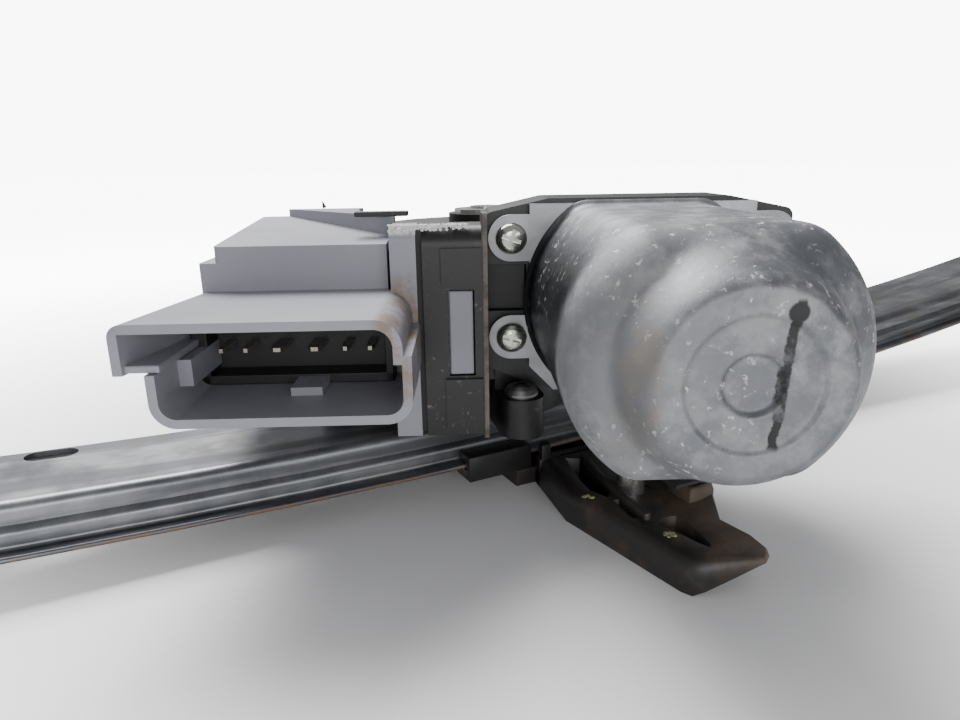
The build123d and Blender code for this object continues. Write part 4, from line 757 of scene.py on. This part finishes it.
# %% [markdown]
# The connector room has a black lining behind its blades: a back and four walls. It stands partly for a
# black pin insert and partly as painted shade, for the dark depth of the room. It is a set of boxes in the
# motor's frame, each closed in itself, with a small radius on their edges.

# %% The connector's lining, partly painted shade
BOX_FACES = ((0, 1, 3, 2), (4, 6, 7, 5), (0, 4, 5, 1), (2, 3, 7, 6), (0, 2, 6, 4), (1, 5, 7, 3))


def motor_boxes(name, boxes, finish, width, slot):
    """One piece from boxes whose sides follow the motor's frame."""
    build = bmesh.new()
    for lows, highs in boxes:
        sides = [(low, high) for low, high in zip(lows, highs)]
        corners = [build.verts.new(motor(x, y, z)) for x in sides[0] for y in sides[1] for z in sides[2]]
        for face in BOX_FACES:
            build.faces.new([corners[i] for i in face])
    bmesh.ops.recalc_face_normals(build, faces=build.faces)
    piece = keep(name, build, finish)
    round_edges(piece, width)
    seat(bake(piece), MAIN, slot)


# A black pin insert and painted shade of the deep room: a back and four walls.
insert_and_shade_boxes = [
    ((-60.2, -41.4, 19.0), (-20.4, -40.1, 34.2)),
    ((-60.2, -47.6, 19.0), (-20.4, -40.6, 20.9)),
    ((-60.2, -47.6, 19.0), (-57.0, -40.6, 34.2)),
    ((-60.2, -47.6, 32.7), (-20.4, -40.6, 34.2)),
    ((-22.0, -47.6, 19.0), (-20.4, -40.6, 34.2)),
]
motor_boxes("connector_insert_and_shade", insert_and_shade_boxes, tray_and_shade_black, 0.2, BLACK_SLOT)

# %% [markdown]
# Small trim stands on the module and the socket: a thin plate and a moulding spike on top, the floor of the
# hood's canopy, the grey tongue in the latch window, and a black plate between the can's ears that paints
# the shade inside the notch there.

# %% Trim of the module and the socket
motor_boxes("top_plate", [((-29.5, -27.5, 50.2), (-17.9, -24.5, 51.3))], black, 0.2, BLACK_SLOT)
lean = Matrix.Translation(motor(-36.2, -26.0, 52.9)) @ Matrix.Rotation(math.radians(-16), 4, "Y")
spike = {"segments": 8, "radius1": 0.5 * MM, "radius2": 0.12 * MM, "depth": 1.4 * MM}
build = bmesh.new()
bmesh.ops.create_cone(build, cap_ends=True, matrix=lean, **spike)
seat(keep("moulding_spike", build, black), MAIN, BLACK_SLOT)
motor_boxes("canopy_floor", [((-65.2, -66.4, 27.2), (-58.6, -42.0, 28.6))], grey, 0.3, GREY_SLOT)
motor_boxes("latch_tongue", [((-9.1, -40.9, 18.1), (-4.2, -39.2, 35.9))], grey, 0.3, GREY_SLOT)
# A black plate behind the notch between the can's ears: painted shade where the inside is dark.
motor_boxes("notch_shade_plate", [((-1.0, -30.0, 29.75), (7.5, -28.9, 39.85))], tray_and_shade_black, 0.2, BLACK_SLOT)

# %% [markdown]
# The carrier rides inside the rail, and its arm reaches out under the motor to hold the glass. The arm
# is one moulding with a rounded shoulder, a ridge, a pocket, a slit and a tear-shaped hole. It is built
# as a stack of outlines, each drawn in a little further than the one below, which gives the shoulder.
# Boolean modifiers then cut the holes.

# %% Helpers for the carrier
GROUND_Z = -16.7
ARM_TOP_Z = -9.4
CARRIER_SLOT = "dirty_plastic"


def solid_from(name, rings, finish):
    """A closed solid from stacked outlines in the working frame."""
    build = bmesh.new()
    made = walls(build, [[working(*point) for point in ring] for ring in rings])
    build.faces.new(list(reversed(made[0])))
    build.faces.new(made[-1])
    bmesh.ops.recalc_face_normals(build, faces=build.faces)
    return keep(name, build, finish)


def slab(name, outline, z0, z1, finish=grimy):
    """A prism over an outline."""
    return solid_from(name, [[(x, y, z) for x, y in outline] for z in (z0, z1)], finish)


def carve(piece, tools, radius=0.0):
    """Cuts other solids away, rounds the edges, and leaves a plain mesh."""
    for tool in tools:
        change = piece.modifiers.new("carve", "BOOLEAN")
        change.operation = "DIFFERENCE"
        change.solver = "EXACT"
        change.object = tool
    if radius:
        round_edges(piece, radius, 32)
    bake(piece)
    for tool in tools:
        bpy.data.objects.remove(tool)
    return piece


def seat_on_carrier(piece, node_name, slot):
    """Smooths a piece between its sharp edges and seats it on the carrier."""
    smooth(piece.data)
    piece.data.set_sharp_from_angle(angle=math.radians(38))
    seat(piece, "carrier", slot, node_name)


# %% The glass arm
ARM = [
    (2.2, -18.0), (-3.3, -44.5), (-2.7, -49.0), (-1.1, -62.0), (0.4, -74.0), (0.8, -77.2), (1.7, -79.2),
    (3.6, -80.6), (14.4, -84.4), (16.4, -83.6), (17.6, -82.0), (18.6, -77.0), (18.0, -69.3), (24.4, -61.0),
    (26.4, -56.0), (27.6, -48.0), (31.0, -18.0),
]
DRAWN_IN = [
    (1.0, 0.1), (1.0, 0.05), (1.0, 0.1), (1.0, 0.1), (1.0, 0.15), (0.95, 0.3), (0.75, 0.7),
    (0.35, 1.0), (-0.1, 0.25), (-0.3, 0.3), (-0.3, 0.2), (-0.3, 0.05), (-0.3, -0.1), (-0.3, 0.0),
    (-0.3, 0.0), (-0.3, 0.0), (-0.2, 0.0),
]
levels = [(GROUND_Z, 0.0), (-12.4, 0.0), (-11.2, 0.25), (-10.2, 0.85), (-9.65, 1.6), (ARM_TOP_Z, 2.7)]
stack = [[(x + dx * back, y + dy * back, z) for (x, y), (dx, dy) in zip(ARM, DRAWN_IN)] for z, back in levels]
arm = solid_from("carrier_arm", stack, grimy)
print("arm's outline", len(ARM), "points on", len(levels), "levels")

# %% [markdown]
# The arm's tip is drawn up from the ground by a slanting cut. bisect_plane cuts a bmesh with a plane and
# clears one side of it, and holes_fill closes the cut.

# %% The arm's tip
build = bmesh.new()
build.from_mesh(arm.data)
slant = ((1.5, -79.5, GROUND_Z), (15.1, -83.8, -10.6), (19.0, -68.0, GROUND_Z))
low, high, back = (Vector(working(*point)) for point in slant)
under = (back - low).cross(high - low)
every = build.verts[:] + build.edges[:] + build.faces[:]
plane = {"plane_co": low, "plane_no": under, "dist": 1e-7}
cut_edges = bmesh.ops.bisect_plane(build, geom=every, clear_outer=True, **plane)
rim = [e for e in cut_edges["geom_cut"] if isinstance(e, bmesh.types.BMEdge)]
bmesh.ops.holes_fill(build, edges=rim)
bmesh.ops.recalc_face_normals(build, faces=build.faces)
build.to_mesh(arm.data)
build.free()
print("tip closed with", len(rim), "cut edges")

# %% The arm's hollows
pocket = [(6.4, -29.0), (2.6, -41.2), (1.6, -46.4), (3.0, -51.0), (5.2, -49.0), (6.4, -41.5), (9.4, -31.0)]
slit = [(3.2, -52.6), (4.6, -53.0), (3.3, -61.4), (2.0, -60.8)]
tear = [
    (4.9, -65.0), (6.2, -64.0), (7.6, -63.9), (9.4, -64.0), (10.3, -64.6), (10.4, -67.5),
    (10.0, -70.0), (9.3, -73.8), (8.5, -76.3), (7.6, -76.6), (6.9, -74.2), (6.4, -71.0),
]
inner_room = [(13.4, -36.5), (27.0, -36.5), (27.0, -27.5), (14.6, -27.5)]
second_room = [(12.4, -48.0), (14.6, -41.0), (15.4, -45.0), (14.0, -52.0)]
shoe_room = [(-40, -27.5), (60, -27.5), (60, -10), (-40, -10)]
cutters = [
    slab("pocket", pocket, -15.2, 0),
    slab("slit", slit, -14.6, 0),
    slab("tear", tear, -18, 0),
    slab("inner_room", inner_room, -14.4, 0),
    slab("second_room", second_room, -13.4, 0),
    slab("shoe_room", shoe_room, -12.3, 0),
]
carve(arm, cutters, radius=0.35)
print("hollows", len(cutters))

# %% The arm's ridge and the clamp's lump
ridge = [
    (9.4, -31.0), (6.4, -41.5), (5.2, -49.0), (3.4, -63.0), (4.8, -63.4), (6.8, -49.4), (8.0, -42.0),
    (11.2, -31.6),
]
ridge_piece = carve(slab("carrier_ridge", ridge, -15.8, ARM_TOP_Z + 1.5), [], radius=0.45)
lump = [
    (16.6, -54.4), (21.0, -52.6), (26.0, -51.4), (27.0, -54.0), (26.2, -57.4), (24.6, -60.4), (20.0, -61.6),
    (16.6, -61.6),
]
lump_rings = [[(x, y, GROUND_Z + 2) for x, y in lump], [(x, y, -8.4) for x, y in lump]]
lump_rings.append([(x + (21.5 - x) * 0.16, y + (-57.0 - y) * 0.16, -6.6) for x, y in lump])
lump_room = [(18.4, -56.0), (22.0, -54.6), (24.6, -54.8), (24.4, -58.0), (21.0, -59.4), (18.6, -59.4)]
lump_solid = solid_from("clamp_lump", lump_rings, grimy)
lump_piece = carve(lump_solid, [slab("lump_room", lump_room, -10.2, 0)], radius=0.5)
for piece in (arm, ridge_piece, lump_piece):
    seat_on_carrier(piece, "carrier", CARRIER_SLOT)

# %% [markdown]
# The saddle slides in the rail's channel. A copy of the exact solid is cut with two boxes, one where the
# arm takes over and one under its left half, where the photograph shows only the floor. The shoes stay in
# their places and get rounded edges.

# %% The saddle and its shoes
def copy_of(name, finish):
    """A cleaned copy of a CAD node."""
    return keep(name + "_copy", cleaned(name), finish)


saddle = copy_of("carrier", grimy)
beyond = slab("beyond", [(-60, -120), (80, -120), (80, -27.2), (-60, -27.2)], -30, 10)
under_left = slab("under_left", [(-60, -28), (-4.5, -28), (-4.5, 30), (-60, 30)], -30, -10.2)
carve(saddle, [beyond, under_left], radius=0.3)
seat_on_carrier(saddle, "carrier", CARRIER_SLOT)
shoes = carve(copy_of("guide_shoes", shoe_black), [], radius=0.25)
seat_on_carrier(shoes, "guide_shoes", "white_plastic")

# %% [markdown]
# The clamp's jaw presses the glass on two rubber pads, held by one screw. Both are copies of their nodes,
# cut shorter where the photograph shows the arm's top free.

# %% The clamp's jaw and pads
jaw = copy_of("clamp_jaw", grimy)
beside = slab("beside", [(-10, -90), (9.0, -90), (12.5, -30), (-10, -30)], -30, 20)
below = slab("below", [(-10, -90), (80, -90), (80, -50.5), (-10, -52.5)], -30, 20)
carve(jaw, [beside, below], radius=0.4)
pads = copy_of("clamp_pads", rubber)
carve(pads, [slab("outside", [(24.0, -90), (80, -90), (80, -20), (24.0, -20)], -30, 20, rubber)])
seat_on_carrier(pads, "clamp_pads", "rubber")
seat_on_carrier(jaw, "clamp_jaw", CARRIER_SLOT)

# %% [markdown]
# Screws repeat, and a rope follows a path. Both are jobs for Geometry Nodes: a tree with named sizes
# makes the shape once, and puts it wherever a small mesh of points or edges says. The helper below adds
# nodes in one line each, closes a tree with Realize Instances and Set Material, and turns what it grew
# into a plain mesh.

# %% A helper for trees
class Tree(Graph):
    """A Geometry Nodes tree with named sizes."""

    def __init__(self, name):
        self.graph = bpy.data.node_groups.new(name, "GeometryNodeTree")
        face = self.graph.interface
        face.new_socket("Geometry", in_out="INPUT", socket_type="NodeSocketGeometry")
        face.new_socket("Geometry", in_out="OUTPUT", socket_type="NodeSocketGeometry")
        self.entry = self.graph.nodes.new("NodeGroupInput")
        self.exit = self.graph.nodes.new("NodeGroupOutput")
        self.base = self.entry.outputs["Geometry"]

    def size(self, name, value, kind="NodeSocketFloat"):
        """A named input."""
        item = self.graph.interface.new_socket(name, in_out="INPUT", socket_type=kind)
        item.default_value = value
        return self.entry.outputs[name]

    def add(self, kind, setup=None, **values):
        """A node with some of its sockets set or linked; a list links several things to one socket."""
        node = self.graph.nodes.new(kind)
        for name, value in (setup or {}).items():
            setattr(node, name, value)
        for name, value in values.items():
            plug = self.plug(node, name.replace("_", " "))
            for item in value if isinstance(value, list) else [value]:
                self.join(item, plug)
        return node

    def plug(self, node, name):
        """The enabled input of a name."""
        return next(p for p in node.inputs if p.name == name and p.enabled)

    def join(self, value, plug):
        """Links a socket to a plug, or sets the plug to a value."""
        if isinstance(value, bpy.types.NodeSocket):
            self.graph.links.new(value, plug)
        else:
            plug.default_value = value

    def close(self, geometry, material):
        """Makes instances real, gives them a material and ends the tree."""
        real = self.add("GeometryNodeRealizeInstances", Geometry=geometry)
        dressed = self.add("GeometryNodeSetMaterial", Geometry=real.outputs[0], Material=material)
        self.join(dressed.outputs[0], self.exit.inputs[0])


def grow(name, base, tree, body, node_names, slot):
    """Runs a tree over a small mesh and keeps what it grew as a plain mesh."""
    piece = bpy.data.objects.new(name, base)
    scene.collection.objects.link(piece)
    piece.modifiers.new(name, "NODES").node_group = tree.graph
    seat(bake(piece), body, slot, *node_names)
    return piece


# %% [markdown]
# A pan head is low and round with a flat crown. It grows from a cylinder whose top rings are lowered by a
# rule, so its radius and height stay free, and a Boolean node sinks the cross in its top. Every screw
# place is one point, which carries the way the screw faces as an attribute.

# %% The screws' tree
CROWN_CURVE = 3.4
CROWN_DROP = 0.93


def screw_tree(name, head_r, head_h, shank_r, shank_l, recess, material):
    """Pan-head screws with a cross recess, one at each point."""
    tree = Tree(name)
    radius = tree.size("Head radius", head_r * MM)
    height = tree.size("Head height", head_h * MM)
    thin = tree.size("Shank radius", shank_r * MM)
    long = tree.size("Shank length", shank_l * MM)
    width = tree.size("Recess width", recess * MM)
    head = tree.add(
        "GeometryNodeMeshCylinder", {"fill_type": "TRIANGLE_FAN"},
        Vertices=40, Side_Segments=1, Fill_Segments=8, Radius=radius, Depth=height,
    )
    spot = tree.add("ShaderNodeSeparateXYZ", Vector=tree.add("GeometryNodeInputPosition").outputs[0])
    x, y, z = spot.outputs
    away = tree.math("SQRT", tree.plus(tree.times(x, x), tree.times(y, y)))
    share = tree.math("DIVIDE", away, radius)
    drop = tree.math("POWER", share, CROWN_CURVE)
    crown = tree.math("SQRT", tree.minus(1.0, tree.times(drop, CROWN_DROP)))
    upper = tree.math("GREATER_THAN", z, 0.0)
    raised = tree.times(tree.times(height, crown), upper)
    place = tree.add("ShaderNodeCombineXYZ", X=x, Y=y, Z=raised)
    domed = tree.add("GeometryNodeSetPosition", Geometry=head.outputs["Mesh"], Position=place.outputs[0])
    sides = tree.add("ShaderNodeCombineXYZ", X=tree.times(radius, 1.25), Y=width, Z=height)
    bar = tree.add("GeometryNodeMeshCube", Size=sides.outputs[0])
    lift = tree.add("ShaderNodeCombineXYZ", Z=tree.times(height, 1.02))
    first = tree.add("GeometryNodeTransform", Geometry=bar.outputs["Mesh"], Translation=lift.outputs[0])
    second = tree.add(
        "GeometryNodeTransform",
        Geometry=bar.outputs["Mesh"], Translation=lift.outputs[0], Rotation=(0, 0, math.pi / 2),
    )
    cross = tree.add("GeometryNodeMeshBoolean", {"operation": "DIFFERENCE", "solver": "EXACT"})
    tree.join(domed.outputs[0], cross.inputs["Mesh 1"])
    for bar_place in (first, second):
        tree.join(bar_place.outputs[0], cross.inputs["Mesh 2"])
    shank = tree.add("GeometryNodeMeshCylinder", Vertices=20, Radius=thin, Depth=long)
    down = tree.add("ShaderNodeCombineXYZ", Z=tree.times(long, -0.5))
    stem = tree.add("GeometryNodeTransform", Geometry=shank.outputs["Mesh"], Translation=down.outputs[0])
    whole = tree.add("GeometryNodeJoinGeometry", Geometry=[cross.outputs["Mesh"], stem.outputs[0]])
    aim = tree.add("GeometryNodeInputNamedAttribute", {"data_type": "FLOAT_VECTOR"}, Name="aim")
    turn = tree.add("FunctionNodeEulerToRotation", Euler=aim.outputs["Attribute"])
    put = tree.add(
        "GeometryNodeInstanceOnPoints", Points=tree.base, Instance=whole.outputs[0], Rotation=turn.outputs[0]
    )
    tree.close(put.outputs[0], material)
    return tree


# %% [markdown]
# The can's screws sit in its four ears, and the unit's screws in the three lugs of the drum housing. Both
# sets use the same tree with other sizes.

# %% The screws' places
def screw_places(name, places):
    """A mesh of points, each with the turn that its screw takes."""
    mesh = bpy.data.meshes.new(name)
    mesh.from_pydata([place for place, facing, turn in places], [], [])
    aim = mesh.attributes.new("aim", "FLOAT_VECTOR", "POINT")
    for index, (place, facing, turn) in enumerate(places):
        lean = Vector(facing).to_track_quat("Z", "Y") @ Euler((0, 0, turn)).to_quaternion()
        aim.data[index].vector = lean.to_euler()
    return mesh


EAR_X = 27.9
EAR_Z = (13.4, -8.1)
EAR_FACE_Y = -33.8
ear_places = []
for across_x in (-1, 1):
    for up in EAR_Z:
        spot = motor(MOTOR_X + across_x * EAR_X, EAR_FACE_Y, MOTOR_Z + up)
        ear_places.append((spot, turned((0, -1, 0)), 0.5 + up * 0.07 + across_x * 0.2))
ear_tree = screw_tree("can_screw", 3.3, 2.35, 1.75, 10.0, 0.86, bright.material)
ear_points = screw_places("can_screw_places", ear_places)
grow("can_screw_set", ear_points, ear_tree, MAIN, ["can_screws"], "bright_steel")

LUG_CIRCLE = 35.5
LUG_FACE_Z = 11.3
lug_places = []
for degrees in (-79.8, 75.0, 175.0):
    a = math.radians(degrees)
    spot = motor(LUG_CIRCLE * math.cos(a), LUG_CIRCLE * math.sin(a), LUG_FACE_Z)
    lug_places.append((spot, (0, 0, 1), a))
lug_tree = screw_tree("unit_screw", 3.8, 2.7, 2.0, 7.6, 0.99, dark_metal.material)
lug_points = screw_places("unit_screw_places", lug_places)
grow("unit_screw_set", lug_points, lug_tree, MAIN, ["unit_screws"], "bright_steel")

# %% [markdown]
# White crumbs of corrosion lie along the top of the flange, and two dabs of grease sit on the arm. A tree
# throws points on a small patch of faces with a fixed seed, and puts a squashed little ball of its own
# size at each one. The patch itself isn't kept.

# %% Crumbs and grease
def crumb_tree(name, size_mm, density, seed, material):
    """Small lumps strewn over faces."""
    tree = Tree(name)
    small = tree.size("Lump size", size_mm * MM)
    many = tree.size("Lumps per square metre", density)
    thrown = tree.add("GeometryNodeDistributePointsOnFaces", Mesh=tree.base, Density=many, Seed=seed)
    ball = tree.add("GeometryNodeMeshIcoSphere", Radius=small, Subdivisions=2)
    spread = tree.add("FunctionNodeRandomValue", {"data_type": "FLOAT_VECTOR"}, Seed=seed + 1)
    spread.inputs[0].default_value = (0.5, 0.5, 0.4)
    spread.inputs[1].default_value = (1.5, 1.5, 1.0)
    put = tree.add(
        "GeometryNodeInstanceOnPoints",
        Points=thrown.outputs["Points"], Instance=ball.outputs["Mesh"], Scale=spread.outputs[0],
        Rotation=thrown.outputs["Rotation"],
    )
    tree.close(put.outputs[0], material)
    return tree


def patch_of(name, corners, faces):
    """A few flat faces on which a tree throws points."""
    mesh = bpy.data.meshes.new(name)
    mesh.from_pydata(corners, [], faces)
    return mesh


residue = plastic("white_residue", (0.55, 0.545, 0.53), (0.78, 0.775, 0.76), (0.7, 0.9), 500)
grease = plastic("yellow_grease", (0.23, 0.24, 0.10), (0.34, 0.35, 0.17), (0.35, 0.5), 500)
strip = patch_of(
    "crumb_strip",
    [motor(*p) for p in (
        (-21.0, -40.7, 47.9), (-4.8, -40.7, 48.5), (-4.8, -40.2, 49.2), (-21.0, -40.2, 49.2),
        (-4.8, -38.2, 49.3), (-21.0, -38.2, 49.3),
    )],
    [(0, 1, 2, 3), (3, 2, 4, 5)],
)
crumbs = crumb_tree("crumbs", 0.26, 5.2e6, 5, residue.material)
grow("residue_crumbs", strip, crumbs, MAIN, [], "")
dab = patch_of(
    "grease_dabs",
    [working(*p) for p in (
        (-1.2, -47.6, -9.9), (-0.1, -47.9, -9.4), (0.3, -50.0, -9.4), (-0.8, -49.8, -9.9),
        (3.2, -68.6, -9.5), (4.9, -68.9, -9.4), (5.1, -70.9, -9.4), (3.4, -70.7, -9.5),
    )],
    [(0, 1, 2, 3), (4, 5, 6, 7)],
)
dabs = crumb_tree("grease", 0.42, 4.0e6, 8, grease.material)
grow("grease_spots", dab, dabs, "carrier", [], "")

# %% [markdown]
# A cable here is a steel rope 1.5 mm thick: strands laid round each other. The tree takes the rope's path,
# turns it into a curve, and sweeps a ring of small circles along it. The curve's tilt grows with its
# length, so the strands wind round it. The path follows the part's: off the drum, down through the web,
# out along the rail, round the end pulley and back to the carrier.

# %% The rail's arch
RAIL_SHIFT_Y = -2.4
ARCH_START = math.asin(-RAIL_LOW_X / RAIL_R)
ARCH_Z = RAIL_R * math.cos(ARCH_START)


def on_arch(s, y, up):
    """A point over the arched web: s along it, y across it and so far above its top."""
    a = ARCH_START + s / RAIL_R
    reach = RAIL_R - up
    return Vector((RAIL_LOW_X + reach * math.sin(a), RAIL_SHIFT_Y + y, ARCH_Z - reach * math.cos(a)))


print("arch begins at", round(math.degrees(ARCH_START), 3), "degrees")

# %% The ropes' path
ROPE_R = 0.75
ROPE_DEEP = 5.2
PULLEY_R = 9.5
CARRIER_S = 11.0
NIPPLE_S = 12.0
DRUM_R = 17.0
GROOVE_Z = 7.4
LEAD_START = 7.8
LEAD_BEND = (27.0, 9.1, GROOVE_Z - 1.8)
LEAD_END_S = 62.0
LEAD_FLAT = 12.0
LEAD_RADII = (12.0, 25.0)
RUN_STEPS = 60
TURN_STEPS = 24


def rope_path(side, turn_s):
    """The route of one cable, as points in the working frame."""
    leave = math.asin(DRUM_R / math.hypot(*LEAD_BEND[:2])) - math.atan2(LEAD_BEND[1], LEAD_BEND[0])
    start_x = DRUM_R * math.sin(leave) + LEAD_START * math.cos(leave)
    start_y = DRUM_R * math.cos(leave) - LEAD_START * math.sin(leave)
    first = Vector((side * start_x, start_y, GROOVE_Z))
    bend = Vector((side * LEAD_BEND[0], LEAD_BEND[1], LEAD_BEND[2]))
    end_s = side * LEAD_END_S
    end = on_arch(end_s, PULLEY_R, -ROPE_DEEP)
    flat = end - (on_arch(side * (LEAD_END_S + 1), PULLEY_R, -ROPE_DEEP) - end) * LEAD_FLAT
    points = rounded_route([first, bend, flat, end], LEAD_RADII)
    for i in range(1, RUN_STEPS + 1):
        points.append(on_arch(end_s + (turn_s - end_s) * i / RUN_STEPS, PULLEY_R, -ROPE_DEEP))
    middle = on_arch(turn_s, 0, -ROPE_DEEP)
    along = (on_arch(turn_s + 1, 0, -ROPE_DEEP) - middle).normalized() * side
    for i in range(1, TURN_STEPS):
        a = math.pi * i / TURN_STEPS
        points.append(middle + Vector((0, PULLEY_R * math.cos(a), 0)) + along * PULLEY_R * math.sin(a))
    nipple_s = CARRIER_S + side * NIPPLE_S
    for i in range(RUN_STEPS + 1):
        points.append(on_arch(turn_s + (nipple_s - turn_s) * i / RUN_STEPS, -PULLEY_R, -ROPE_DEEP))
    return points


def rounded_route(corners, radii):
    """Corner points joined by straight runs and bends.

    A known fault: slerp gives vectors of length 1, so each bend is a 1 mm arc about its centre. The part's
    route has each vector times the radius there.
    """
    points = [corners[0]]
    for before, corner, after, radius in zip(corners, corners[1:], corners[2:], radii):
        come = (corner - before).normalized()
        go = (after - corner).normalized()
        bend = come.angle(go)
        reach = radius * math.tan(bend / 2)
        inward = (go - come).normalized()
        middle = corner + inward * (radius / math.cos(bend / 2))
        start = corner - come * reach - middle
        finish = corner + go * reach - middle
        for i in range(9):
            points.append(middle + start.slerp(finish, i / 8))
    return points + [corners[-1]]


print("left path", len(rope_path(-1, -214.0)), "points")

# %% The ropes' tree
STRANDS = 6
LAY = 7.0
STEP = 0.9


def rope_tree(material):
    """Strands laid round a path of edges."""
    tree = Tree("rope")
    thick = tree.size("Rope radius", ROPE_R * MM)
    strands = tree.size("Strands", STRANDS, "NodeSocketInt")
    lay = tree.size("Lay length", LAY * MM)
    step = tree.size("Step", STEP * MM)
    path = tree.add("GeometryNodeMeshToCurve", Mesh=tree.base)
    even = tree.add("GeometryNodeResampleCurve", {"mode": "LENGTH"}, Curve=path.outputs[0], Length=step)
    gone = tree.add("GeometryNodeSplineParameter").outputs["Length"]
    twist = tree.times(tree.math("DIVIDE", gone, lay), 2 * math.pi)
    wound = tree.add("GeometryNodeSetCurveTilt", Curve=even.outputs[0], Tilt=twist)
    ring_r, strand_r = tree.times(thick, 0.62), tree.times(thick, 0.38)
    ring = tree.add("GeometryNodeCurvePrimitiveCircle", Resolution=strands, Radius=ring_r)
    seats = tree.add("GeometryNodeCurveToPoints", {"mode": "EVALUATED"}, Curve=ring.outputs["Curve"])
    strand = tree.add("GeometryNodeCurvePrimitiveCircle", Resolution=6, Radius=strand_r)
    bundle = tree.add("GeometryNodeInstanceOnPoints", Points=seats.outputs[0], Instance=strand.outputs[0])
    section = tree.add("GeometryNodeRealizeInstances", Geometry=bundle.outputs[0])
    swept = tree.add(
        "GeometryNodeCurveToMesh", Curve=wound.outputs[0], Profile_Curve=section.outputs[0], Fill_Caps=True
    )
    tree.close(swept.outputs[0], material)
    return tree


laid = rope_tree(rope.material)
for name, end, turn_s in (("left_cable", -1, -214.0), ("right_cable", 1, 236.0)):
    points = [working(*point) for point in rope_path(end, turn_s)]
    line = bpy.data.meshes.new(name + "_path")
    line.from_pydata(points, [(i, i + 1) for i in range(len(points) - 1)], [])
    grow(name + "_rope", line, laid, MAIN, [name], "cable_steel").data.shade_smooth()
